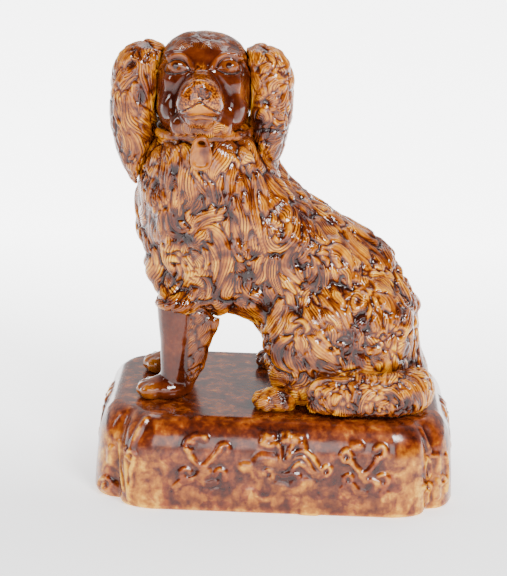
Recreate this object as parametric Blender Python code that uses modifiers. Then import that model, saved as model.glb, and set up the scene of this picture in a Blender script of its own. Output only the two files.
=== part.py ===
"""Seated spaniel on a moulded plinth, a glazed pottery mantel figure.

The figure is one fired body, made from sections that were pressed in moulds
and luted together with slip. Each section is its own object here, and the
slip joint between two sections is the named gap LUTE.

Metres, +Z up. The long side of the plinth lies along X, the dog's chest
towards -X and its head turned to face -Y. The origin is the middle of the
foot on which the plinth stands. Left and right are the dog's own.
"""

import math

import bmesh
import bpy
import numpy as np
from mathutils import Matrix, Vector
from mathutils.bvhtree import BVHTree

# Clay and joints
WALL = 0.007
LUTE = 0.0003

# Plinth
PLINTH_LENGTH = 0.208
PLINTH_WIDTH = 0.150
PLINTH_HEIGHT = 0.053
CORNER_CUT = 0.035
CORNER_ROUNDNESS = 1.4
CORNER_NOTCH = 0.0030
CORNER_BULGE = 0.0014
SIDE_FLARE = 0.0016
SHOULDER_HEIGHT = 0.025
SHOULDER_REACH = 0.013
FOOT_ROUND = 0.0016
VENT_RADIUS = 0.014

# Dog: overall sizes above the plinth
DOG_LENGTH = 0.180
DOG_HEIGHT = 0.214
CHEST_WIDTH = 0.084
HIP_WIDTH = 0.072
CHEST_INSET = 0.017
DOG_SHIFT = 0.004

# Main locks of the coat: a lock's root is sunk and its tip lifted by a share of its rise
LOCK_LENGTH = 0.048
LOCK_WIDTH = 0.0160
LOCK_RISE = 0.0046
LOCK_SWAY = math.radians(42)
LOCK_HOOK = math.radians(90)
LOCK_SPACING = 0.029
LOCKS_ROUND = 12
LOCK_SINK = 0.30
LOCK_TIP_LIFT = 0.25
COAT_GRAIN = 0.0015

# Head
HEAD_WIDTH = 0.054
HEAD_DEPTH = 0.059
HEAD_HEIGHT = 0.061
HEAD_TILT = math.radians(-10)
HEAD_FORWARD = 0.012
MUZZLE_LENGTH = 0.0255
MUZZLE_WIDTH = 0.0275
MUZZLE_HEIGHT = 0.023
MUZZLE_DROP = 0.0085
NOSE_WIDTH = 0.0125
EYE_WIDTH = 0.0100
EYE_SPACING = 0.0298
FACE_GRAIN = 0.0017

# Ears
RIGHT_EAR_WIDTH = 0.0285
LEFT_EAR_WIDTH = 0.0262
EAR_DEPTH = 0.034
RIGHT_EAR_DROP = 0.085
LEFT_EAR_DROP = 0.078

# Collar and padlock
COLLAR_BAND = 0.006
COLLAR_THICKNESS = 0.0034
PADLOCK_WIDTH = 0.0125
PADLOCK_HEIGHT = 0.0145
PADLOCK_THICKNESS = 0.0056
SHACKLE_THICKNESS = 0.0026

# Legs and tail
FORELEG_SPREAD = 0.050
FORELEG_DEPTH = 0.021
FORELEG_WIDTH = 0.019
LEFT_FEATHER = 0.0165
RIGHT_FEATHER = 0.0120
FOREPAW_LENGTH = 0.031
FOREPAW_WIDTH = 0.0215
PAW_HEIGHT = 0.0125
HAUNCH_LENGTH = 0.087
HAUNCH_WIDTH = 0.050
HAUNCH_HEIGHT = 0.076
HIND_PAW_LENGTH = 0.027
HIND_PAW_WIDTH = 0.0195
TAIL_THICKNESS = 0.0265

# Facets: points round a section, rows between two stations of a table, and the
# share of its facets that a blended form keeps
BODY_SIDES = 32
BODY_ROWS = 2
HEAD_SIDES = 24
MUZZLE_SIDES = 20
LIMB_SIDES = 16
BALL_SIDES = 12
LOCK_SIDES = 10
LOCK_STEPS = 12
FACE_FACETS = 0.10
COAT_FACETS = 0.036

# Share of the dog's length and height at the breast and at the spine, then
# the middle of the section to the side of the dog's middle, and its half-width, as
# shares of half the chest's width. The last number blends to the hip's width.
BODY_STATIONS = (
    (0.105, 0.770, 0.340, 0.775, -0.22, 0.56, 0),
    (0.058, 0.712, 0.400, 0.716, -0.19, 0.82, 0),
    (0.016, 0.640, 0.452, 0.646, -0.14, 0.95, 0),
    (0.006, 0.560, 0.505, 0.572, -0.10, 1.00, 0),
    (0.010, 0.491, 0.610, 0.514, -0.06, 1.00, 0),
    (0.030, 0.407, 0.722, 0.456, -0.03, 1.00, 0),
    (0.044, 0.332, 0.822, 0.411, 0.00, 1.00, 0.2),
    (0.094, 0.262, 0.889, 0.327, 0.00, 0.98, 0.4),
    (0.228, 0.238, 0.933, 0.252, 0.00, 0.96, 0.8),
    (0.344, 0.220, 0.956, 0.182, 0.00, 0.98, 1),
    (0.417, 0.164, 0.958, 0.126, 0.00, 1.00, 1),
    (0.461, 0.079, 0.989, 0.065, 0.00, 1.04, 1),
    (0.483, 0.000, 0.994, 0.000, 0.00, 1.04, 1),
)
BODY_SQUARENESS = 2.3
LIMB_SQUARENESS = 2.2
COLLAR_SHARE = 0.7

# Height, forward shift, half-width and half-depth, as shares of the half sizes
SKULL_STATIONS = (
    (0.95, 0.10, 0.42, 0.45),
    (0.78, 0.08, 0.72, 0.74),
    (0.48, 0.04, 0.92, 0.93),
    (0.12, 0.00, 1.00, 1.00),
    (-0.28, 0.00, 1.00, 0.99),
    (-0.62, 0.02, 0.96, 0.94),
    (-0.92, 0.04, 0.84, 0.84),
)
# Share of the muzzle's length, height, half-width and half-height
MUZZLE_STATIONS = (
    (-0.60, 0.60, 0.62, 0.82),
    (-0.15, 0.40, 0.62, 0.88),
    (0.25, 0.16, 0.76, 1.00),
    (0.60, 0.02, 0.88, 1.00),
    (0.84, 0.00, 0.84, 0.86),
    (0.96, 0.04, 0.58, 0.58),
)
# Pairs of swellings on the skull: to the side, forward and up from its middle,
# then half-width, half-depth and half-height, in shares of its half sizes
SKULL_SWELLINGS = (
    ("brow", (0.48, 0.76, 0.47), (0.38, 0.22, 0.15)),
    ("cheekbone", (0.46, 0.58, 0.00), (0.42, 0.32, 0.28)),
    ("jowl", (0.56, 0.36, -0.46), (0.42, 0.50, 0.46)),
)
# The same on the muzzle: to the side, along its length and up from its middle
MUZZLE_SWELLINGS = (
    ("lip", (0.48, 0.58, -0.34), (0.54, 0.36, 0.64)),
    ("lip_corner", (0.60, 0.24, -0.62), (0.40, 0.28, 0.44)),
    ("chin", (0.20, 0.34, -1.04), (0.50, 0.36, 0.40)),
)
# The same below the skull, where the beard hangs over the collar
BEARD_TUFTS = (
    ("inner_tuft", (0.15, 0.86, -0.78), (0.24, 0.30, 0.26)),
    ("outer_tuft", (0.44, 0.70, -0.78), (0.26, 0.32, 0.26)),
)
# Share of the drop from the top of the ear, then how far its outer and inner
# edges lie from the root line, and its half-depth
EAR_STATIONS = (
    (0.02, 0.48, 0.06, 0.34),
    (0.06, 0.72, -0.18, 0.64),
    (0.13, 0.88, -0.22, 0.86),
    (0.26, 0.98, -0.10, 0.98),
    (0.42, 1.00, -0.04, 1.00),
    (0.58, 0.96, 0.00, 0.97),
    (0.72, 0.86, 0.06, 0.86),
    (0.86, 0.70, 0.18, 0.64),
    (0.96, 0.54, 0.30, 0.36),
)
# Share of the leg's height, middle and half-depth in shares of its depth,
# half-width in shares of its width
FORELEG_STATIONS = (
    (0.04, 0.02, 0.40, 0.44),
    (0.20, -0.02, 0.35, 0.40),
    (0.42, 0.00, 0.38, 0.43),
    (0.66, 0.02, 0.42, 0.47),
    (0.90, 0.02, 0.49, 0.55),
    (1.15, 0.02, 0.55, 0.64),
)
# Share of the leg's height, reach behind the leg's middle in shares of the
# feather, half-thickness in shares of the leg's width
FEATHER_STATIONS = (
    (0.05, 0.55, 0.16),
    (0.18, 0.66, 0.22),
    (0.32, 0.88, 0.25),
    (0.58, 1.08, 0.28),
    (0.74, 1.20, 0.30),
    (0.84, 1.44, 0.33),
    (0.95, 1.52, 0.34),
    (1.10, 1.40, 0.34),
)
# The haunch's middle as a share of the dog's length, then rows of the share of its
# height, middle along X and half-length, and half-width
HAUNCH_PLACE = 0.667
HAUNCH_STATIONS = (
    (0.00, -0.03, 0.64, 0.66),
    (0.09, -0.05, 0.75, 0.84),
    (0.25, -0.03, 0.84, 0.96),
    (0.44, 0.00, 0.98, 1.00),
    (0.62, 0.02, 1.00, 0.96),
    (0.78, 0.08, 0.86, 0.82),
    (0.90, 0.14, 0.60, 0.58),
    (0.97, 0.18, 0.30, 0.28),
)
# Share of the dog's length, reach from its middle in shares of the haunch's
# width, height above the plinth and radius in shares of the tail's thickness
TAIL_STATIONS = (
    (0.930, -0.20, 0.42, 0.28),
    (0.935, -0.48, 0.46, 0.38),
    (0.915, -0.74, 0.48, 0.45),
    (0.850, -0.93, 0.49, 0.50),
    (0.760, -0.98, 0.49, 0.51),
    (0.670, -0.97, 0.48, 0.50),
    (0.620, -0.96, 0.46, 0.45),
    (0.590, -0.95, 0.44, 0.34),
    (0.576, -0.95, 0.43, 0.18),
)


def empty_scene():
    for item in list(bpy.data.objects):
        bpy.data.objects.remove(item, do_unlink=True)


def collection(name):
    made = bpy.data.collections.new(name)
    bpy.context.scene.collection.children.link(made)
    return made


def glaze(name, colour, roughness):
    made = bpy.data.materials.new(name)
    made.use_nodes = True
    shader = made.node_tree.nodes["Principled BSDF"]
    shader.inputs["Base Color"].default_value = (*colour, 1)
    shader.inputs["Roughness"].default_value = roughness
    shader.inputs["Metallic"].default_value = 0
    made.diffuse_color = (*colour, 1)
    return made


def object_from(mesh, name, into):
    made = bpy.data.objects.new(name, mesh)
    into.objects.link(made)
    if into is HELPERS:
        made.hide_render = True
        made.display_type = "WIRE"
    return made


def object_from_bmesh(shape, name, into):
    bmesh.ops.recalc_face_normals(shape, faces=shape.faces)
    mesh = bpy.data.meshes.new(name)
    shape.to_mesh(mesh)
    shape.free()
    return object_from(mesh, name, into)


def through(stations, rows):
    """The stations with rows - 1 more between each two, on a smooth curve through them."""
    table = np.asarray(stations, float)
    ends = np.vstack([2 * table[0] - table[1], table, 2 * table[-1] - table[-2]])
    made = []
    for before, start, end, after in zip(ends, ends[1:], ends[2:], ends[3:]):
        for t in np.arange(rows) / rows:
            bend = 2 * before - 5 * start + 4 * end - after
            twist = 3 * start - before - 3 * end + after
            made.append(start + 0.5 * t * (end - before + t * (bend + t * twist)))
    made.append(table[-1])
    return made


def oval(middle, half_a, half_b, sides, squareness=2.0):
    """Points round an oval whose two half-axes are the vectors half_a and half_b."""
    angle = np.arange(sides) * (2 * math.pi / sides)
    cosine, sine = np.cos(angle), np.sin(angle)
    along_a = np.sign(cosine) * np.abs(cosine) ** (2 / squareness)
    along_b = np.sign(sine) * np.abs(sine) ** (2 / squareness)
    return np.asarray(middle) + np.outer(along_a, half_a) + np.outer(along_b, half_b)


def loft(name, sections, into, tips=(None, None)):
    """A closed skin over the sections, each end flat or drawn to a tip."""
    shape = bmesh.new()
    rings = [[shape.verts.new(point) for point in section] for section in sections]
    for low, high in zip(rings, rings[1:]):
        for i in range(len(low)):
            shape.faces.new((low[i - 1], low[i], high[i], high[i - 1]))
    for ring, tip in zip((rings[0], rings[-1]), tips):
        if tip is None:
            shape.faces.new(ring)
            continue
        point = shape.verts.new(tip)
        for i in range(len(ring)):
            shape.faces.new((ring[i - 1], ring[i], point))
    return object_from_bmesh(shape, name, into)


def ball(name, middle, half_sizes, into, sides=BALL_SIDES, turn=None):
    shape = bmesh.new()
    bmesh.ops.create_uvsphere(shape, u_segments=sides, v_segments=sides // 2 + 1, radius=1)
    bmesh.ops.scale(shape, vec=half_sizes, verts=shape.verts)
    if turn is not None:
        bmesh.ops.transform(shape, matrix=turn, verts=shape.verts)
    bmesh.ops.translate(shape, vec=middle, verts=shape.verts)
    return object_from_bmesh(shape, name, into)


def boolean(target, other, operation, solver="EXACT"):
    change = target.modifiers.new(f"{operation.lower()} {other.name}", "BOOLEAN")
    change.operation = operation
    change.solver = solver
    change.object = other


def settled(item):
    """The item's mesh after its modifiers, as a new mesh."""
    bpy.context.view_layer.update()
    graph = bpy.context.evaluated_depsgraph_get()
    return bpy.data.meshes.new_from_object(item.evaluated_get(graph))


def joined(name, pieces):
    """One closed form made of pieces that overlap."""
    first, *others = pieces
    for other in others:
        boolean(first, other, "UNION")
    return object_from(settled(first), name, HELPERS)


def blended(name, pieces, grain, facets, softness):
    """One smooth skin over pieces that overlap, with the creases between them softened."""
    shape = bmesh.new()
    for piece in pieces:
        shape.from_mesh(piece.data)
    item = object_from_bmesh(shape, f"{name}_pieces", HELPERS)
    skin = item.modifiers.new("skin", "REMESH")
    skin.mode = "VOXEL"
    skin.voxel_size = grain
    soften = item.modifiers.new("soften", "SMOOTH")
    soften.iterations = softness
    fewer = item.modifiers.new("fewer facets", "DECIMATE")
    fewer.ratio = facets
    return object_from(settled(item), name, HELPERS)


def swollen(form):
    """A cutter that leaves the slip joint all round the form."""
    made = object_from(form.data.copy(), f"{form.name}_seat", HELPERS)
    grow = made.modifiers.new("joint", "DISPLACE")
    grow.mid_level = 0
    grow.strength = LUTE
    return made


def section(name, form, finish, cutters, solver="EXACT"):
    """A finished section of the figure: its form, cut where others take its place."""
    made = object_from(form.data.copy(), name, PARTS)
    made.data.materials.clear()
    made.data.materials.append(finish)
    made.data.shade_smooth()
    for cutter in cutters:
        boolean(made, cutter, "DIFFERENCE", solver)
    return made


def middle_y():
    """The dog sits a little forward of the plinth's middle."""
    return -DOG_SHIFT


def along(share):
    return CHEST_INSET - PLINTH_LENGTH / 2 + share * DOG_LENGTH


def above(share):
    return PLINTH_HEIGHT + LUTE + share * (DOG_HEIGHT - LUTE)


# Plinth


def plinth_outline(inset):
    """Half-round lobes at each canted corner, with a notch between them."""
    half_x, half_y = PLINTH_LENGTH / 2 - inset, PLINTH_WIDTH / 2 - inset
    cut = CORNER_CUT - inset * (2 - math.sqrt(2))
    relief = 1 - 0.6 * inset / (SIDE_FLARE + SHOULDER_REACH)
    quarter = []
    steps = 12
    for step in range(steps + 1):
        t = step / steps
        bulge = relief * CORNER_BULGE * math.sin(2 * math.pi * t) ** 2
        notch = relief * CORNER_NOTCH * math.exp(-(((t - 0.5) / 0.09) ** 2))
        out = (bulge - notch) / math.sqrt(2)
        from_end, from_side = cut * t**CORNER_ROUNDNESS, cut * (1 - t) ** CORNER_ROUNDNESS
        quarter.append((half_x - from_end + out, half_y - from_side + out))
    mirrored = [(-x, y) for x, y in reversed(quarter)]
    return [*quarter, *mirrored, *[(-x, -y) for x, y in quarter], *[(-x, -y) for x, y in mirrored]]


def plinth_ring(height, inset):
    return [(x, y, height) for x, y in plinth_outline(inset)]


def shoulder(height, inset, reach, top):
    """Rings of a quarter-round shoulder that ends at the top."""
    rings = []
    steps = 5
    for step in range(steps + 1):
        angle = math.pi / 2 * step / steps
        rise = math.sin(angle) * height
        rings.append(plinth_ring(top - height + rise, inset + reach * (1 - math.cos(angle))))
    return rings


def make_plinth(finish):
    outside = [
        plinth_ring(0, FOOT_ROUND),
        plinth_ring(FOOT_ROUND * 0.4, FOOT_ROUND * 0.35),
        plinth_ring(FOOT_ROUND * 1.2, 0),
        plinth_ring(PLINTH_HEIGHT * 0.30, SIDE_FLARE * 0.4),
        *shoulder(SHOULDER_HEIGHT, SIDE_FLARE, SHOULDER_REACH, PLINTH_HEIGHT),
    ]
    form = loft("plinth_form", outside, HELPERS)
    ceiling = PLINTH_HEIGHT - WALL
    inside = [
        plinth_ring(-WALL, WALL),
        plinth_ring(PLINTH_HEIGHT * 0.30, SIDE_FLARE * 0.4 + WALL),
        *shoulder(SHOULDER_HEIGHT, SIDE_FLARE + WALL, SHOULDER_REACH, ceiling)[::2],
    ]
    hollow = loft("plinth_hollow", inside, HELPERS)
    shape = bmesh.new()
    bmesh.ops.create_cone(
        shape,
        cap_ends=True,
        segments=24,
        radius1=VENT_RADIUS,
        radius2=VENT_RADIUS,
        depth=4 * WALL,
        matrix=Matrix.Translation((body_middle_x(), middle_y(), PLINTH_HEIGHT)),
    )
    vent = object_from_bmesh(shape, "vent", HELPERS)
    section("plinth", form, finish, [hollow, vent])


# Body


def body_section(station, inset=0.0, sides=BODY_SIDES):
    front, front_up, back, back_up, shift, width, hip = station
    half_chest = CHEST_WIDTH / 2
    half_width = width * (half_chest + hip * (HIP_WIDTH - CHEST_WIDTH) / 2) - inset
    breast = np.array((along(front), 0, above(front_up)))
    spine = np.array((along(back), 0, above(back_up)))
    half = (spine - breast) / 2
    half *= 1 - inset / np.linalg.norm(half)
    middle = (spine + breast) / 2 + np.array((0, middle_y() + shift * half_chest, 0))
    return oval(middle, half, (0, half_width, 0), sides, BODY_SQUARENESS)


def body_middle_x():
    front, _, back = BODY_STATIONS[-1][:3]
    return along((front + back) / 2)


def make_body_form():
    """The body without its locks, which stand half their rise above the coat's mean surface."""
    rings = [body_section(row, LOCK_RISE / 2) for row in through(BODY_STATIONS, BODY_ROWS)]
    return loft("body_form", rings, HELPERS)


def lie_of_coat(point):
    """The way in which the hair lies: down the chest, back along the flank, round the thigh."""
    share = (point.x - along(0)) / DOG_LENGTH
    height = (point.z - above(0)) / DOG_HEIGHT
    if height > 0.34:
        back = np.interp(share, (0.05, 0.25, 0.48, 0.75, 1.0), (-0.1, 0.1, 0.7, 0.9, 0.3))
    else:
        back = np.interp(share, (0.38, 0.60, 0.82, 1.0), (-0.7, -0.3, 0.2, 0.1))
    side = math.copysign(0.35, point.y - middle_y()) if share < 0.30 else 0.0
    return Vector((back, side, -1))


def lock_line(skin, start, hand):
    """Places and directions down a wavy lock on the skin, with a hook at its end."""
    point, normal, *_ = skin.find_nearest(start)
    heading = lie_of_coat(point)
    line = []
    turned = 0.0
    for step in range(LOCK_STEPS):
        share = step / (LOCK_STEPS - 1)
        aim = hand * LOCK_SWAY * math.sin(2 * math.pi * share)
        aim -= hand * LOCK_HOOK * max(0.0, 2 * share - 1) ** 2
        heading = (heading - heading.dot(normal) * normal).normalized()
        heading = Matrix.Rotation(aim - turned, 3, normal) @ heading
        turned = aim
        line.append((point, normal, heading))
        point, normal, *_ = skin.find_nearest(point + heading * LOCK_LENGTH / (LOCK_STEPS - 1))
    return line


def make_lock(name, skin, start, hand):
    """A wisp that grows out of the coat, swells and ends in a free tip."""
    rings = []
    for step, (point, normal, heading) in enumerate(lock_line(skin, start, hand)):
        share = step / (LOCK_STEPS - 1)
        swell = math.sin(math.pi * (0.08 + 0.84 * share)) ** 0.6
        across = heading.cross(normal) * swell * LOCK_WIDTH / 2
        outward = normal * LOCK_RISE
        middle = point + outward * (LOCK_TIP_LIFT * share - LOCK_SINK)
        rings.append(oval(middle, across, outward * (0.6 + 0.5 * swell), LOCK_SIDES))
    return loft(name, rings, HELPERS)


def bare_of_locks(point):
    """Where other sections lie against the body, and the smooth belly."""
    haunch_middle = along(HAUNCH_PLACE)
    beside_haunch = (
        abs(point.x - haunch_middle) < HAUNCH_LENGTH * 0.42
        and point.z < above(0) + HAUNCH_HEIGHT * 0.9
    )
    padlock_x, _, padlock_z = padlock_place()
    behind_padlock = (
        abs(point.x - padlock_x) < PADLOCK_WIDTH
        and point.y < middle_y()
        and point.z > padlock_z - 2 * PADLOCK_HEIGHT
    )
    belly = point.x < haunch_middle - HAUNCH_LENGTH * 0.3 and point.z < above(BODY_STATIONS[6][1])
    return beside_haunch or behind_padlock or belly


def make_coat_form():
    """The body with its main locks, in staggered rows from the nape to the loins."""
    body = make_body_form()
    skin = BVHTree.FromObject(body, bpy.context.evaluated_depsgraph_get())
    nape = Vector((along(0.24), middle_y(), above(0.76)))
    loins = Vector((along(0.72), middle_y(), above(0.16)))
    downward = (loins - nape).normalized()
    backward = downward.cross(Vector((0, -1, 0)))
    pieces = [body]
    for row in range(round((loins - nape).length / LOCK_SPACING)):
        middle = nape + downward * (row + 0.3) * LOCK_SPACING
        for place in range(LOCKS_ROUND):
            turn = 2 * math.pi * (place + 0.5 * (row % 2)) / LOCKS_ROUND
            outward = math.cos(turn) * backward + Vector((0, math.sin(turn), 0))
            start = skin.ray_cast(middle, outward)[0]
            if start is None or bare_of_locks(start):
                continue
            hand = 1 if (place + row) % 2 else -1
            pieces.append(make_lock(f"lock_{row}_{place}", skin, start, hand))
    return blended("coat", pieces, COAT_GRAIN, COAT_FACETS, 1)


def make_hollow():
    """The space inside, from the foot of the body up through the neck into the skull."""
    rings = [body_section(row, WALL, BODY_SIDES // 2) for row in BODY_STATIONS]
    foot = rings[-1] - np.array((0, 0, WALL))
    middle = head_middle()
    upward = head_axes()[2]
    skull = []
    for share, size in ((-0.35, 0.62), (0.0, 0.66), (0.35, 0.52), (0.55, 0.28)):
        skull.append(
            oval(
                middle + upward * share * HEAD_HEIGHT / 2,
                ((HEAD_WIDTH / 2) * size, 0, 0),
                (0, (HEAD_DEPTH / 2) * size, 0),
                BODY_SIDES // 2,
            )
        )
    skull = [turned_like(ring, rings[0]) for ring in skull]
    return loft("hollow", [foot, *rings[::-1], *skull], HELPERS)


def turned_like(ring, other):
    """The ring with its points in the order of the other's, so that a skin between them has no twist."""
    size = len(ring)
    best = min(range(size), key=lambda turn: np.linalg.norm(np.roll(ring, turn, axis=0) - other))
    return np.roll(ring, best, axis=0)


def make_body(finish, form, hollow, seats):
    """The left and right halves, as they come from the two sides of the mould."""
    size = 2 * DOG_HEIGHT
    for name, side in (("body_left_half", -1), ("body_right_half", 1)):
        shape = bmesh.new()
        bmesh.ops.create_cube(shape, size=size)
        shift = middle_y() + side * (LUTE / 2 - size / 2)
        bmesh.ops.translate(shape, vec=(0, shift, DOG_HEIGHT / 2), verts=shape.verts)
        other_half = object_from_bmesh(shape, f"{name}_mould", HELPERS)
        section(name, form, finish, [hollow, other_half, *seats])


# Head


def head_axes():
    """The head's own sideways, forward and upward directions."""
    tilt = np.array(Matrix.Rotation(HEAD_TILT, 3, "X"))
    return tilt[:, 0], -tilt[:, 1], tilt[:, 2]


def head_middle():
    share = (BODY_STATIONS[0][0] + BODY_STATIONS[0][2]) / 2
    height = PLINTH_HEIGHT + DOG_HEIGHT - HEAD_HEIGHT / 2
    return np.array((along(share), middle_y() - HEAD_FORWARD, height))


def on_head(sideways, forward, upward):
    axes = head_axes()
    return head_middle() + sideways * axes[0] + forward * axes[1] + upward * axes[2]


def on_muzzle(sideways, reach, upward):
    """A place on the muzzle, in shares of its half-width, length and half-height."""
    return on_head(
        sideways * MUZZLE_WIDTH / 2,
        HEAD_DEPTH / 2 + reach * MUZZLE_LENGTH,
        upward * MUZZLE_HEIGHT / 2 - MUZZLE_DROP,
    )


def head_ball(name, middle, half_sizes):
    return ball(name, middle, half_sizes, HELPERS, turn=Matrix.Rotation(HEAD_TILT, 4, "X"))


def make_head_form():
    _, forward, upward = head_axes()
    half_width, half_depth, half_height = HEAD_WIDTH / 2, HEAD_DEPTH / 2, HEAD_HEIGHT / 2
    rings = []
    for height, shift, width, depth in through(SKULL_STATIONS, BODY_ROWS):
        rings.append(
            oval(
                on_head(0, shift * half_depth, height * half_height),
                (half_width * width, 0, 0),
                forward * half_depth * depth,
                HEAD_SIDES,
                LIMB_SQUARENESS,
            )
        )
    crown = on_head(0, 0.1 * half_depth, half_height)
    skull = loft("skull", rings, HELPERS, tips=(crown, None))

    rings = []
    for reach, height, width, tall in through(MUZZLE_STATIONS, BODY_ROWS):
        rings.append(
            oval(
                on_muzzle(0, reach, height),
                (MUZZLE_WIDTH / 2 * width, 0, 0),
                upward * MUZZLE_HEIGHT / 2 * tall,
                MUZZLE_SIDES,
                LIMB_SQUARENESS,
            )
        )
    muzzle = loft("muzzle", rings, HELPERS, tips=(None, on_muzzle(0, 1, 0)))

    pieces = [skull, muzzle]
    skull_sizes = np.array((half_width, half_depth, half_height))
    muzzle_sizes = np.array((MUZZLE_WIDTH / 2, MUZZLE_LENGTH, MUZZLE_HEIGHT / 2))
    for side in (-1, 1):
        for name, place, size in (*SKULL_SWELLINGS, *BEARD_TUFTS):
            middle = on_head(*(skull_sizes * place * (side, 1, 1)))
            pieces.append(head_ball(f"{name}_{side}", middle, skull_sizes * size))
        for name, place, size in MUZZLE_SWELLINGS:
            middle = on_muzzle(place[0] * side, *place[1:])
            pieces.append(head_ball(f"{name}_{side}", middle, muzzle_sizes * size))
    face_form = blended("face", pieces, FACE_GRAIN, FACE_FACETS, 4)

    nose_size = (NOSE_WIDTH / 2, NOSE_WIDTH * 0.30, NOSE_WIDTH * 0.34)
    features = [face_form, head_ball("nose", on_muzzle(0, 0.90, 0.50), nose_size)]
    for side in (-1, 1):
        eye = on_head(side * EYE_SPACING / 2, half_depth * 0.84, 0.28 * half_height)
        features.append(head_ball(f"eye_{side}", eye, (EYE_WIDTH / 2, EYE_WIDTH * 0.36, EYE_WIDTH * 0.36)))
    return joined("head_form", features)


def make_ear_form(name, side, width, drop):
    """A thick flap that leaves the crown, swells at the cheek and narrows to its tip."""
    middle = head_middle()
    root = middle[0] + side * HEAD_WIDTH / 2 * 0.94
    top = middle[2] + HEAD_HEIGHT / 2 * 0.77
    rings = []
    for share, outer, inner, depth in through(EAR_STATIONS, 1):
        centre = (outer + inner) / 2 * width * side
        rings.append(
            oval(
                (root + centre, middle[1] * 0.9, top - share * drop),
                ((outer - inner) / 2 * width, 0, 0),
                (0, depth * EAR_DEPTH / 2, 0),
                LIMB_SIDES,
                LIMB_SQUARENESS,
            )
        )
    tips = []
    for share, ring in ((0, rings[0]), (1, rings[-1])):
        x, y, _ = np.mean(ring, axis=0)
        tips.append((x, y, top - share * drop))
    return loft(name, rings, HELPERS, tips=tips)


# Collar and padlock


def collar_ring(sides):
    neck, ruff = np.array(BODY_STATIONS[0]), np.array(BODY_STATIONS[1])
    return body_section(neck + (ruff - neck) * COLLAR_SHARE, 0.0, sides)


def make_collar_form():
    """A strap that follows the neck, half sunk in the coat."""
    sides = BODY_SIDES
    ring = collar_ring(sides)
    middle = ring.mean(axis=0)
    shape = bmesh.new()
    loops = []
    for point in ring:
        out = (point - middle) / np.linalg.norm(point - middle)
        corners = []
        for turn in range(6):
            angle = 2 * math.pi * turn / 6
            offset = out * math.cos(angle) * COLLAR_THICKNESS / 2
            offset = offset + np.array((0, 0, math.sin(angle) * COLLAR_BAND / 2))
            corners.append(shape.verts.new(point + offset))
        loops.append(corners)
    for i in range(sides):
        for j in range(6):
            here, there = loops[i - 1], loops[i]
            shape.faces.new((here[j - 1], here[j], there[j], there[j - 1]))
    return object_from_bmesh(shape, "collar_form", HELPERS)


def chest_front(height):
    """The foremost point of the coat at a height."""
    rows = through(BODY_STATIONS[:4], 8)
    row = min(rows, key=lambda station: abs(above(station[1]) - height))
    return min(body_section(row), key=lambda point: point[1])


def padlock_place():
    """Where the padlock hangs: the strap's foremost point."""
    return min(collar_ring(BODY_SIDES), key=lambda point: point[1])


def make_padlock_form():
    """A round-cornered padlock whose shackle goes round the strap."""
    strap = padlock_place()
    x, z = strap[0], strap[2]
    y = chest_front(z - PADLOCK_HEIGHT * 0.58)[1] - PADLOCK_THICKNESS * 0.35
    body = loft(
        "padlock_body",
        [
            oval(
                (x, y + offset, z - PADLOCK_HEIGHT * 0.68),
                (PADLOCK_WIDTH / 2 * size, 0, 0),
                (0, 0, PADLOCK_HEIGHT / 2 * size),
                20,
                2.8,
            )
            for offset, size in (
                (PADLOCK_THICKNESS, 1.0),
                (-PADLOCK_THICKNESS * 0.30, 1.0),
                (-PADLOCK_THICKNESS * 0.50, 0.90),
                (-PADLOCK_THICKNESS * 0.50, 0.76),
                (-PADLOCK_THICKNESS * 0.36, 0.66),
            )
        ],
        HELPERS,
    )
    rings = []
    radius = (PADLOCK_WIDTH - SHACKLE_THICKNESS) / 2 * 0.86
    foot = z - PADLOCK_HEIGHT * 0.33
    for step in range(11):
        angle = math.pi * step / 10
        out = np.array((math.cos(angle), 0, 1.5 * math.sin(angle)))
        rings.append(
            oval(
                np.array((x, y - SHACKLE_THICKNESS * 0.4, foot)) + radius * out,
                out * SHACKLE_THICKNESS / 2,
                (0, SHACKLE_THICKNESS * 0.7, 0),
                8,
            )
        )
    shackle = loft("shackle", rings, HELPERS)
    return joined("padlock_form", [body, shackle])


# Legs and tail


def paw_pieces(name, heel_x, middle_y, length, width):
    """A low pad with four toes, pointing to -X."""
    floor = above(0)
    pad = ball(
        f"{name}_pad",
        (heel_x - length * 0.42, middle_y, floor + PAW_HEIGHT * 0.40),
        (length * 0.44, width / 2, PAW_HEIGHT * 0.62),
        HELPERS,
    )
    pieces = [pad]
    for toe in range(4):
        across = (toe - 1.5) / 1.5
        reach = length * (0.80 - 0.10 * abs(across) ** 2)
        pieces.append(
            ball(
                f"{name}_toe_{toe}",
                (heel_x - reach, middle_y + across * width * 0.34, floor + PAW_HEIGHT * 0.34),
                (length * 0.20, width * 0.16, PAW_HEIGHT * 0.42),
                HELPERS,
                sides=8,
            )
        )
    return pieces


def floor_cutter():
    """Takes off whatever would sink into the plinth."""
    shape = bmesh.new()
    size = 2 * PLINTH_LENGTH
    bmesh.ops.create_cube(shape, size=size)
    bmesh.ops.translate(shape, vec=(0, 0, above(0) - size / 2), verts=shape.verts)
    return object_from_bmesh(shape, "plinth_seat", HELPERS)


def foreleg_height():
    """From the plinth to the underside of the chest."""
    return above(BODY_STATIONS[8][1]) - above(0)


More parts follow.
